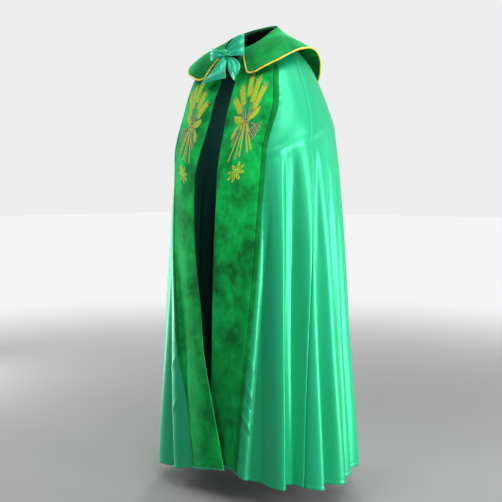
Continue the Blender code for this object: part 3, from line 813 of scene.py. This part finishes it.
def laid_piece(side, name, first, last, wall, radius, columns, rows, material):
    drops = row_places(rows)
    drops = drops[drops < 1.0 - HEM_SHOWING / NECK_HEIGHT]
    drops = np.append(drops, 1.0 - HEM_SHOWING / NECK_HEIGHT)
    lengths = close_to_edges(first, last, radius, columns)
    points = surface(side, front_angles(side, drops, lengths, []), drops[:, None], fine=True)
    normals = grid_normals(points)
    thick = wall * (0.12 + 0.88 * edge_round(lengths, first, last, radius))
    to_foot = np.linspace(len(drops) - 1, 0, len(drops))
    thick = thick[None, :] * (1.0 - 0.6 * np.exp(-to_foot))[:, None]
    under = points + normals * LAID_LIFT
    return shell_object(name, under + normals * thick[..., None], under, [material], cloth_uv(points))


class BandSurface:
    """Places on a band by metres across from its front edge and height above the hem."""

    def __init__(self, side):
        self.side = side
        self.drops = np.linspace(0.05, 0.6, 240)
        self.lengths = np.linspace(0.0, BAND_WIDTH, 41)
        angles = front_angles(side, self.drops, self.lengths, [])
        self.points = surface(side, angles, self.drops[:, None], fine=True)
        self.normals = grid_normals(self.points)
        self.heights = self.points[:, 20, 2] + NECK_HEIGHT

    def place(self, across, height, lift):
        """Points at these places, lifted off the velvet."""
        row = np.interp(-np.asarray(height), -self.heights, np.arange(len(self.heights)))
        column = np.clip(np.asarray(across) / self.lengths[1], 0.0, 39.999)
        r0, c0 = np.clip(row.astype(int), 0, 238), column.astype(int)
        fr, fc = (row - r0)[..., None], (column - c0)[..., None]

        def read(grid):
            return (
                grid[r0, c0] * (1 - fr) * (1 - fc)
                + grid[r0 + 1, c0] * fr * (1 - fc)
                + grid[r0, c0 + 1] * (1 - fr) * fc
                + grid[r0 + 1, c0 + 1] * fr * fc
            )

        lifted = LAID_LIFT + BAND_WALL + np.asarray(lift)
        return read(self.points) + read(self.normals) * lifted[..., None]


# Embroidery: each motif is made in its own flat plane, then laid on the band

class Stitching:
    """Gathers raised patches and threads of one colour into one mesh."""

    def __init__(self, ground, centre_across, centre_height):
        self.ground = ground
        self.centre = (centre_across, centre_height)
        self.vertices, self.faces, self.uvs = [], [], []
        self.count = 0

    def add_grid(self, x, y, lift, u, v):
        placed = self.ground.place(self.centre[0] + x, self.centre[1] + y, lift)
        rows, columns = x.shape
        faces = grid_faces(rows, columns, self.count)
        a, b, c = (placed.reshape(-1, 3)[faces[:, k] - self.count] for k in (0, 1, 2))
        facing = np.cross(b - a, c - a).sum(axis=0)
        outwards = placed.reshape(-1, 3).mean(axis=0) * np.array((1.0, 1.0, 0.0))
        if facing @ outwards < 0:
            faces = faces[:, ::-1]
        self.vertices.append(placed.reshape(-1, 3))
        self.faces.append(faces)
        self.uvs.append(np.stack([u, v], axis=-1).reshape(-1, 2))
        self.count += rows * columns

    def leaf(self, x, y, heading, length, width, thick=0.0011, bend=0.0, point=0.75):
        """A pointed oval of satin stitch from its base at x, y."""
        t = np.linspace(0.0, 1.0, 17)
        s = np.linspace(-1.0, 1.0, 9)
        half = 0.5 * width * np.sin(math.pi * t**point) ** 0.85
        turn = math.radians(heading) + math.radians(bend) * t
        step = length / 16.0
        cx = x + np.concatenate([[0.0], np.cumsum(np.sin(turn[1:]) * step)])
        cy = y + np.concatenate([[0.0], np.cumsum(np.cos(turn[1:]) * step)])
        gx = cx[:, None] + np.cos(turn)[:, None] * half[:, None] * s
        gy = cy[:, None] - np.sin(turn)[:, None] * half[:, None] * s
        lift = thick * np.sqrt(np.clip(1.0 - s**2, 0.0, 1.0)) * np.minimum(1.0, half / (0.2 * width))[:, None]
        self.add_grid(gx, gy, lift - 0.0001, (t * length)[:, None] + 0 * s, half[:, None] * s)
        return np.stack([gx[:, 0], gy[:, 0]], axis=-1), np.stack([gx[:, -1], gy[:, -1]], axis=-1)

    def disc(self, x, y, radius, thick=0.0014):
        t = np.linspace(0.0, 1.0, 5)
        turn = np.linspace(0.0, 2 * math.pi, 17)
        gx = x + radius * t[:, None] * np.cos(turn)
        gy = y + radius * t[:, None] * np.sin(turn)
        lift = thick * np.sqrt(np.clip(1.0 - t**2, 0.0, 1.0))[:, None] + 0 * turn
        self.add_grid(gx, gy, lift - 0.0001, gx, gy)

    def thread(self, path, width, thick=0.0008, lift=0.0):
        """A raised line of stitching along a path."""
        path = np.asarray(path, float)
        tangent = np.gradient(path, axis=0)
        tangent /= np.maximum(np.linalg.norm(tangent, axis=1, keepdims=True), 1e-9)
        s = np.linspace(-1.0, 1.0, 5)
        gx = path[:, 0][:, None] + tangent[:, 1][:, None] * s * width / 2
        gy = path[:, 1][:, None] - tangent[:, 0][:, None] * s * width / 2
        run = np.concatenate([[0.0], np.cumsum(np.linalg.norm(np.diff(path, axis=0), axis=1))])
        rise = lift + thick * np.sqrt(np.clip(1.0 - s**2, 0.0, 1.0))[None, :] + 0 * gx
        self.add_grid(gx, gy, rise - 0.0001, run[:, None] + 0 * gx, 0 * gx + s * width)

    def finish(self, name, material, slot):
        made = mesh_object(
            name,
            np.concatenate(self.vertices),
            np.concatenate(self.faces),
            [material],
            uv=np.concatenate(self.uvs),
        )
        return made


def arc_path(x, y, heading, length, bend, count=24):
    turn = math.radians(heading) + math.radians(bend) * np.linspace(0.0, 1.0, count)
    step = length / (count - 1)
    px = x + np.concatenate([[0.0], np.cumsum(np.sin(turn[1:]) * step)])
    py = y + np.concatenate([[0.0], np.cumsum(np.cos(turn[1:]) * step)])
    return np.stack([px, py], axis=-1)


MOTIF_CENTRE = (0.066, 1.122)      # across from the front edge, and height above the hem
ROSETTE_CENTRE = (0.060, 0.972)
THREAD_WIDTH = 0.0019

# The sheaf: where each stem meets the tie, its heading and bend, and how long the ear is.
Ear = namedtuple("Ear", "root_x heading bend stem ear grains")
WHEAT_EARS = (
    Ear(-0.006, -16.0, -5.0, 0.036, 0.060, 7),
    Ear(-0.003, -7.0, -3.0, 0.060, 0.062, 7),
    Ear(0.000, 1.0, 1.0, 0.080, 0.064, 8),
    Ear(0.003, 9.0, 3.0, 0.056, 0.062, 7),
    Ear(0.006, 18.0, 5.0, 0.034, 0.058, 7),
)
GRAIN_LENGTH, GRAIN_WIDTH, GRAIN_LEAN = 0.0165, 0.0080, 25.0
AWN_SPREADS = (-16.0, 0.0, 16.0)
BroadLeaf = namedtuple("BroadLeaf", "colour x y heading length width bend")
BROAD_LEAVES = (
    BroadLeaf("fill", -0.006, 0.004, -64.0, 0.044, 0.019, 36.0),
    BroadLeaf("fill", 0.006, 0.006, 64.0, 0.042, 0.019, -36.0),
    BroadLeaf("accent", -0.003, 0.010, -17.0, 0.060, 0.0085, 6.0),
    BroadLeaf("accent", 0.003, 0.010, 18.0, 0.056, 0.0085, -6.0),
    BroadLeaf("fill", -0.007, -0.004, -122.0, 0.046, 0.018, -34.0),
    BroadLeaf("accent", -0.010, -0.012, -146.0, 0.054, 0.012, -22.0),
)
STRAW_HEADINGS = (166.0, 170.5, 175.0, 180.0, 185.0, 189.5, 194.0)
STRAW_COLOURS = ("fill", "outline", "accent", "fill", "outline", "accent", "fill")
STRAW_LENGTH = 0.104
GRAPE_ROWS = ((4, 0.0), (3, -0.0084), (4, -0.0168), (3, -0.0252), (2, -0.0336), (1, -0.0420))
GRAPE_TOP = (0.031, -0.024)
GRAPE_PITCH = 0.0088
GRAPE_RADIUS = 0.0041
THREAD_SLOTS = {"fill": "piping", "outline": "piping", "accent": "velvet"}
TIE_LINES = (-0.0080, -0.0025, 0.0030)
PETAL_COUNT = 8


def ring_path(x, y, radius, count=21):
    turn = np.linspace(0.0, 2 * math.pi, count)
    return np.stack([x + radius * np.cos(turn), y + radius * np.sin(turn)], axis=-1)


def wheat_ear(ear, threads):
    stem = arc_path(ear.root_x, 0.0, ear.heading, ear.stem, ear.bend)
    threads["accent"].thread(stem, 0.0034, 0.0009)
    head = arc_path(*stem[-1], ear.heading + ear.bend, ear.ear, ear.bend, ear.grains + 1)
    for k in range(ear.grains):
        slope = ear.heading + ear.bend * (1 + k / ear.grains)
        for lean in (-GRAIN_LEAN, GRAIN_LEAN):
            for edge in threads["fill"].leaf(*head[k], slope + lean, GRAIN_LENGTH, GRAIN_WIDTH, 0.0013):
                threads["outline"].thread(edge, 0.0014, 0.0007, 0.0002)
    for spread in AWN_SPREADS:
        awn = arc_path(*head[-1], ear.heading + 2 * ear.bend + spread, 0.018, spread * 0.4, 12)
        threads["outline"].thread(awn, 0.0013)


def grape_cluster(threads):
    threads["outline"].thread(arc_path(0.006, -0.004, 112.0, 0.030, 28.0), 0.0022)
    for count, drop in GRAPE_ROWS:
        for k in range(count):
            x = GRAPE_TOP[0] + (k - 0.5 * (count - 1)) * GRAPE_PITCH
            y = GRAPE_TOP[1] + drop
            threads["accent"].disc(x, y, GRAPE_RADIUS)
            threads["outline"].thread(ring_path(x, y, GRAPE_RADIUS), 0.0012, 0.0008)


def tied_sheaf(threads):
    """Wheat, leaves and grapes bound with a ribbon."""
    for heading, colour in zip(STRAW_HEADINGS, STRAW_COLOURS):
        root_x = 0.0012 * (180.0 - heading) * 0.35
        straw = arc_path(root_x, -0.004, heading, STRAW_LENGTH, 0.25 * (heading - 180.0))
        threads[colour].thread(straw, 0.0042, 0.0010)
    for ear in WHEAT_EARS:
        wheat_ear(ear, threads)
    for leaf in BROAD_LEAVES:
        sewn = threads[leaf.colour]
        edges = sewn.leaf(leaf.x, leaf.y, leaf.heading, leaf.length, leaf.width, 0.0012, leaf.bend)
        for edge in edges:
            threads["outline"].thread(edge, THREAD_WIDTH)
        vein = 0.5 * (edges[0] + edges[1])
        threads["outline"].thread(vein[:-2], 0.0014, 0.0007, 0.0010)
    grape_cluster(threads)
    for y in TIE_LINES:
        line = np.stack([np.linspace(-0.0125, 0.0125, 12), np.full(12, y)], axis=-1)
        threads["outline"].thread(line, 0.0046, 0.0016, 0.0004)
    for side in (-1, 1):
        loop = arc_path(0.0, -0.001, side * 100.0, 0.034, side * 74.0)
        threads["accent"].thread(loop, 0.0052, 0.0014, 0.0006)


def rosette(lines):
    """A flower of petals drawn in single lines."""
    for k in range(PETAL_COUNT):
        heading = 360.0 * (k + 0.5) / PETAL_COUNT
        base = 0.0065 * np.array((math.sin(math.radians(heading)), math.cos(math.radians(heading))))
        for lean in (-34.0, 34.0):
            lines.thread(arc_path(*base, heading + lean, 0.0225, -1.9 * lean, 14), 0.0025, 0.0010)
    for radius in (0.0066, 0.0028):
        lines.thread(ring_path(0.0, 0.0, radius), 0.0023, 0.0010)


def embroider(side, word, finishes):
    ground = BandSurface(side)
    threads = {colour: Stitching(ground, *MOTIF_CENTRE) for colour in ("fill", "outline", "accent")}
    tied_sheaf(threads)
    pieces = [
        sewn.finish(f"sheaf_{colour}_{word}", finishes[colour], THREAD_SLOTS[colour])
        for colour, sewn in threads.items()
    ]
    lines = Stitching(ground, *ROSETTE_CENTRE)
    rosette(lines)
    return [*pieces, lines.finish(f"rosette_{word}", finishes["lime"], "piping")]


# Collar and piping

def collar_points(across, share):
    """Points of the collar's middle surface. across runs 0 to 2 round from the left front corner."""
    across, share = np.broadcast_arrays(np.asarray(across, float), np.asarray(share, float))
    side = np.where(across <= 1.0, 1.0, -1.0)
    along = np.where(across <= 1.0, across, 2.0 - across)
    from_edge = (180.0 - COLLAR_EDGE[0].angle) * along
    away = np.clip(1.0 - from_edge / CORNER_SPAN, 0.0, 1.0)
    share = share * (1.0 - CORNER_CUT * (1.0 - np.sqrt(1.0 - away**2)))
    start = COLLAR_NECK_ANGLE + (COLLAR_EDGE[0].angle - COLLAR_NECK_ANGLE) * share
    angle = start + (180.0 - start) * along
    edge_place = COLLAR_EDGE[0].angle + from_edge
    reach = column_at(COLLAR_EDGE, "angle", "reach", edge_place)
    height = column_at(COLLAR_EDGE, "angle", "height", edge_place)
    neck = surface(BACK, side * angle, np.zeros_like(angle))
    neck_reach = np.hypot(neck[..., 0], neck[..., 1])
    neck_height = neck[..., 2] + NECK_HEIGHT + COLLAR_STAND
    bulge = (COLLAR_BULGE + (BACK_BULGE - COLLAR_BULGE) * along) * np.sin(math.pi * share)
    out = neck_reach + (reach - neck_reach) * share + 0.5 * bulge
    up = neck_height + (height - neck_height) * share + bulge
    turn = np.radians(angle)
    return np.stack([side * out * np.sin(turn), -out * np.cos(turn), up - NECK_HEIGHT], axis=-1)


def collar_places(corner_columns, middle_columns):
    corner = CORNER_SPAN / (180.0 - COLLAR_EDGE[0].angle)
    near = corner * (np.arange(corner_columns) / corner_columns) ** 1.6
    middle = np.linspace(corner, 2.0 - corner, middle_columns)
    return np.concatenate([near, middle, 2.0 - near[::-1]])


def make_collar(velvet, shaded_underside):
    places = collar_places(12, 240)
    shares = np.concatenate([[0.0, 0.006, 0.02], np.linspace(0.05, 0.95, 26), [0.975, 0.99, 1.0]])
    points = collar_points(places[None, :], shares[:, None])
    normals = grid_normals(points)
    if normals[..., 2].sum() < 0:
        normals = -normals
    across = places[None, :] * (180.0 - COLLAR_EDGE[0].angle)
    ripple = 0.0016 * np.sin(np.radians(across * 3.3) + 0.6) * ease(shares / 0.8)[:, None]
    half = 0.5 * COLLAR_WALL
    rolled = np.sqrt(np.clip(1.0 - (1.0 - np.clip(shares / 0.02, 0.0, 1.0)) ** 2, 0.0, 1.0))
    thick = (half * (0.3 + 0.7 * rolled))[:, None, None]
    lift = ripple[..., None]
    return shell_object(
        "collar_cloth",
        points + normals * (lift + thick),
        points + normals * (lift - thick),
        [velvet, shaded_underside],
        cloth_uv(points),
        1,
    )


def tube_object(name, path, radius, sides, material):
    """A round tube with closed ends along a path, with metres along and around it as its UVs."""
    path = np.asarray(path)
    tangent = np.gradient(path, axis=0)
    tangent /= np.linalg.norm(tangent, axis=1, keepdims=True)
    upright = np.array((0.0, 0.0, 1.0))
    aside = np.cross(tangent, upright)
    aside /= np.linalg.norm(aside, axis=1, keepdims=True)
    above = np.cross(aside, tangent)
    turn = np.linspace(0.0, 2 * math.pi, sides + 1)
    ends = np.concatenate([[0.02, 0.7], np.ones(len(path) - 4), [0.7, 0.02]])
    ring = aside[:, None, :] * np.cos(turn)[None, :, None] + above[:, None, :] * np.sin(turn)[None, :, None]
    points = path[:, None, :] + ring * (radius * ends)[:, None, None]
    run = np.concatenate([[0.0], np.cumsum(np.linalg.norm(np.diff(path, axis=0), axis=1))])
    uv = np.stack(np.meshgrid(radius * turn, run), axis=-1)
    rows, columns = points.shape[:2]
    points = points.reshape(-1, 3)
    middle = np.repeat(path[:-1], columns - 1, axis=0)
    faces = faces_outwards(points, grid_faces(rows, columns), middle)
    return mesh_object(name, points, faces, [material], uv=uv.reshape(-1, 2))


def piping_path(count):
    shares = np.linspace(0.0, 0.97, 40)[2:]
    places = collar_places(10, count)
    across = np.concatenate([np.zeros(len(shares)), places, np.full(len(shares), 2.0)])
    share = np.concatenate([shares, np.ones(len(places)), shares[::-1]])
    points = collar_points(across, share)
    step = 0.004
    next_round, last_round = (np.clip(across + way, 0, 2) for way in (step, -step))
    next_down, last_down = (np.clip(share + way, 0, 1) for way in (step, -step))
    round_way = collar_points(next_round, share) - collar_points(last_round, share)
    down_way = collar_points(across, next_down) - collar_points(across, last_down)
    normals = np.cross(down_way, round_way)
    normals /= np.linalg.norm(normals, axis=1, keepdims=True)
    along = np.gradient(points, axis=0)
    outwards = np.cross(along, normals)
    outwards /= np.linalg.norm(outwards, axis=1, keepdims=True)
    return points + outwards * (PIPING_RADIUS + 2 * SEAM_GAP)


# The bow

def ribbon_grid(table, count_along, count_across, place):
    """A smooth grid through a table of ribbon stations. place(station values, share) gives a point."""
    stations = np.linspace(0.0, 1.0, len(table))
    at = np.linspace(0.0, 1.0, count_along)
    values = {
        name: smooth_curve(stations, [getattr(row, name) for row in table], at) for name in table[0]._fields
    }
    share = np.linspace(0.0, 1.0, count_across)
    return place(values, share[None, :], at[:, None])


def ribbon_shell(name, points, wall, material):
    normals = np.cross(np.gradient(points, axis=1), np.gradient(points, axis=0))
    normals /= np.maximum(np.linalg.norm(normals, axis=2, keepdims=True), 1e-12)
    half = normals * wall / 2
    return shell_object(name, points + half, points - half, [material], cloth_uv(points))


def gathers(share, at, count, depth, reach):
    """Pleats that run out from the knot and fade along the ribbon."""
    return depth * np.sin(2 * math.pi * count * share + 0.7) * np.exp(-at / reach)


def bow_loop(name, side, scale, material):
    def place(values, share, at):
        column = {key: value[:, None] for key, value in values.items()}
        up = column["top"] + (column["bottom"] - column["top"]) * share
        up = np.where(up > 0, up * scale[2], up)
        near = np.minimum(at, 1.0 - at)
        wave = gathers(share, near, *LOOP_GATHERS)
        return np.stack([
            KNOT_CENTRE[0] + side * column["out"] * scale[0] + 0 * up,
            KNOT_CENTRE[1] - column["forward"] * scale[1] - wave,
            KNOT_CENTRE[2] + up,
        ], axis=-1)

    return ribbon_shell(name, ribbon_grid(LOOP_RUN, 110, 30, place), RIBBON_WALL, material)


def bow_tail(name, table, material):
    def place(values, share, at):
        column = {key: value[:, None] for key, value in values.items()}
        wave = gathers(share, at, *TAIL_GATHERS) + TAIL_WAVE * np.sin(9.0 * at + 3.0 * share)
        return np.stack([
            KNOT_CENTRE[0] + column["x_outer"] + (column["x_inner"] - column["x_outer"]) * share,
            KNOT_CENTRE[1] - column["forward"] - TAIL_CURL * at * np.sin(math.pi * share) - wave,
            KNOT_CENTRE[2] + column["z_outer"] + (column["z_inner"] - column["z_outer"]) * share,
        ], axis=-1)

    return ribbon_shell(name, ribbon_grid(table, 70, 26, place), RIBBON_WALL, material)


def bow_knot(material):
    rows, columns = 28, 49
    up = np.linspace(-1.0, 1.0, rows)[:, None]
    turn = np.linspace(0.0, 2 * math.pi, columns)[None, :]
    body = np.clip(1.0 - np.abs(up) ** 3.2, 0.0, 1.0) ** 0.36
    pleat = 1.0 + 0.09 * np.sin(5 * turn + 1.4 * up)
    points = np.stack([
        KNOT_CENTRE[0] + 1.05 * KNOT_SIZE[0] * body * pleat * np.cos(turn),
        KNOT_CENTRE[1] + 1.05 * KNOT_SIZE[1] * body * pleat * np.sin(turn),
        KNOT_CENTRE[2] + KNOT_SIZE[2] * up + 0 * turn,
    ], axis=-1).reshape(-1, 3)
    faces = faces_outwards(points, grid_faces(rows, columns), np.array(KNOT_CENTRE))
    uv = np.stack(np.broadcast_arrays(turn * KNOT_SIZE[0], up * KNOT_SIZE[2]), axis=-1)
    return mesh_object("knot_satin", points, faces, [material], uv=uv.reshape(-1, 2))


# Stage, light and camera

def plain_material(name, colour, roughness):
    material = bpy.data.materials.new(name)
    material.use_nodes = True
    shader = material.node_tree.nodes["Principled BSDF"]
    shader.inputs["Base Color"].default_value = (*colour, 1.0)
    shader.inputs["Roughness"].default_value = roughness
    return material


def ranged(tree, value, limits):
    """A smooth change of a value: the two values it goes between, then the results."""
    node = tree.nodes.new("ShaderNodeMapRange")
    node.interpolation_type = "SMOOTHSTEP"
    for name, limit in zip(("From Min", "From Max", "To Min", "To Max"), limits):
        node.inputs[name].default_value = limit
    tree.links.new(value, node.inputs["Value"])
    return node.outputs["Result"]


def towards_backdrop(tree, direction):
    node = tree.nodes.new("ShaderNodeVectorMath")
    node.operation = "DOT_PRODUCT"
    away = math.radians(CAMERA_AZIMUTH + 180.0)
    node.inputs[1].default_value = (math.sin(away), -math.cos(away), 0.0)
    tree.links.new(direction, node.inputs[0])
    return ranged(tree, node.outputs["Value"], WORLD_RANGE)


def floor_material():
    """A pale floor that runs into the bright backdrop far behind the garment."""
    material = plain_material("pale_floor", FLOOR_COLOUR, 0.95)
    tree = material.node_tree
    place = tree.nodes.new("ShaderNodeNewGeometry").outputs["Position"]
    direction = tree.nodes.new("ShaderNodeVectorMath")
    direction.operation = "NORMALIZE"
    tree.links.new(place, direction.inputs[0])
    reach = tree.nodes.new("ShaderNodeVectorMath")
    reach.operation = "LENGTH"
    tree.links.new(place, reach.inputs[0])
    glow = tree.nodes.new("ShaderNodeMath")
    glow.operation = "MULTIPLY"
    tree.links.new(towards_backdrop(tree, direction.outputs["Vector"]), glow.inputs[0])
    tree.links.new(ranged(tree, reach.outputs["Value"], FLOOR_GLOW_RANGE), glow.inputs[1])
    shader = tree.nodes["Principled BSDF"]
    shader.inputs["Emission Color"].default_value = (1.0, 1.0, 1.0, 1.0)
    tree.links.new(glow.outputs["Value"], shader.inputs["Emission Strength"])
    return material


def make_floor():
    low = cad_box[0][2] - FLOOR_CLEARANCE
    corners = [(x * FLOOR_SIZE, y * FLOOR_SIZE, low) for x, y in ((-1, -1), (1, -1), (1, 1), (-1, 1))]
    mesh = bpy.data.meshes.new("floor")
    mesh.from_pydata(corners, [], [(0, 1, 2, 3)])
    mesh.materials.append(floor_material())
    floor = bpy.data.objects.new("floor", mesh)
    bpy.context.scene.collection.objects.link(floor)


def area_light(name, azimuth, elevation, distance, size, watts, spread):
    light = bpy.data.lights.new(name, "AREA")
    light.shape = "RECTANGLE"
    light.size, light.size_y = size
    light.energy = watts
    light.spread = math.radians(spread)
    made = bpy.data.objects.new(name, light)
    turn, rise = math.radians(azimuth), math.radians(elevation)
    aim = np.array(LIGHT_AIM)
    spot = aim + distance * np.array(
        (math.sin(turn) * math.cos(rise), -math.cos(turn) * math.cos(rise), math.sin(rise))
    )
    made.location = spot
    direction = aim - spot
    made.rotation_mode = "XYZ"
    flat = math.hypot(direction[0], direction[1])
    made.rotation_euler = (
        math.atan2(flat, -direction[2]), 0.0, math.atan2(-direction[0], direction[1])
    )
    bpy.context.scene.collection.objects.link(made)


def make_lights():
    world = bpy.data.worlds.new("studio")
    world.use_nodes = True
    tree = world.node_tree
    background = tree.nodes["Background"]
    background.inputs["Color"].default_value = (1.0, 1.0, 1.0, 1.0)
    direction = tree.nodes.new("ShaderNodeTexCoord").outputs["Generated"]
    upwards = tree.nodes.new("ShaderNodeSeparateXYZ")
    tree.links.new(direction, upwards.inputs["Vector"])
    total = tree.nodes.new("ShaderNodeMath")
    tree.links.new(towards_backdrop(tree, direction), total.inputs[0])
    tree.links.new(ranged(tree, upwards.outputs["Z"], ZENITH_RANGE), total.inputs[1])
    tree.links.new(total.outputs["Value"], background.inputs["Strength"])
    bpy.context.scene.world = world
    bpy.context.scene.view_settings.view_transform = "Standard"
    for light in LIGHTS:
        area_light(*light)


def make_camera():
    data = bpy.data.cameras.new("camera")
    data.sensor_width = SENSOR_WIDTH
    data.lens = SENSOR_WIDTH * FOCAL_PIXELS / FRAME_PIXELS
    camera = bpy.data.objects.new("camera", data)
    turn = math.radians(CAMERA_AZIMUTH)
    camera.location = (math.sin(turn) * CAMERA_DISTANCE, -math.cos(turn) * CAMERA_DISTANCE, CAMERA_HEIGHT)
    camera.rotation_euler = (math.radians(90.0 - CAMERA_PITCH), 0.0, turn)
    bpy.context.scene.collection.objects.link(camera)
    bpy.context.scene.camera = camera


def dress():
    satin = satin_finish("satin_green", SATIN_DARK, SATIN_LIGHT)
    ribbon = satin_finish("ribbon_green", RIBBON_DARK, RIBBON_LIGHT, 0.10)
    lining = lining_finish()
    # The band and edging velvets get painted shade lower down (shares 0.5 and 0.3); the collar velvets get
    # none.
    velvet = velvet_finish("velvet_green", VELVET_DARK, VELVET_MIDDLE, VELVET_BRIGHT, 0.5)
    edging = velvet_finish("velvet_edging", VELVET_DARK, EDGING_MIDDLE, VELVET_MIDDLE, 0.3)
    collar_velvet = velvet_finish("collar_velvet", COLLAR_DARK, COLLAR_MIDDLE, COLLAR_BRIGHT, 0.0)
    # Painted shade: the collar's underside is a darker copy of the velvet.
    collar_under_shade = velvet_finish("collar_underside", VELVET_DARK, VELVET_DARK, VELVET_MIDDLE, 0.0)
    gold = piping_finish()
    finishes = {
        "fill": thread_finish("thread_yellow_green", (0.25, 0.42, 0.02), (0.52, 0.72, 0.05)),
        "outline": thread_finish("thread_ochre", (0.42, 0.30, 0.05), (0.66, 0.52, 0.12)),
        "accent": thread_finish("thread_teal", (0.006, 0.13, 0.10), (0.02, 0.27, 0.20)),
        "lime": thread_finish("thread_lime", (0.45, 0.62, 0.03), (0.72, 0.88, 0.08)),
    }
    body = back_panel("back_satin", satin, lining, 280, 166)
    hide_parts("back")
    for side, word in ((LEFT, "left"), (RIGHT, "right")):
        panel = front_panel(side, f"front_satin_{word}", satin, lining, 100, 230)
        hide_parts(f"front_{word}")
        band = laid_piece(side, f"band_velvet_{word}", 0.0, BAND_WIDTH, BAND_WALL, 0.0022, 30, 230, velvet)
        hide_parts(f"band_{word}")
        strip_span = (BAND_WIDTH + SEAM_GAP, BAND_WIDTH + STRIP_WIDTH)
        strip = laid_piece(side, f"strip_velvet_{word}", *strip_span, STRIP_WALL, 0.0030, 6, 230, edging)
        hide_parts(f"strip_{word}")
        sewn = embroider(side, word, finishes)
        tie = bpy.data.objects[f"tie_{word}"]
        tie.data.materials.clear()
        tie.data.materials.append(ribbon)
    collar = make_collar(collar_velvet, collar_under_shade)
    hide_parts("collar")
    piping = tube_object("piping_cord", piping_path(420), PIPING_RADIUS, 14, gold)
    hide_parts("collar_piping")
    pieces = (
        (bow_loop("loop_satin_left", LEFT, LEFT_LOOP_SCALE, ribbon), "bow_loop_left"),
        (bow_loop("loop_satin_right", RIGHT, RIGHT_LOOP_SCALE, ribbon), "bow_loop_right"),
        (bow_tail("tail_satin_left", LEFT_TAIL, ribbon), "bow_tail_left"),
        (bow_tail("tail_satin_right", RIGHT_TAIL, ribbon), "bow_tail_right"),
        (bow_knot(ribbon), "bow_knot"),
    )
    for piece, node in pieces:
        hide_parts(node)


make_camera()
dress()
make_floor()
make_lights()
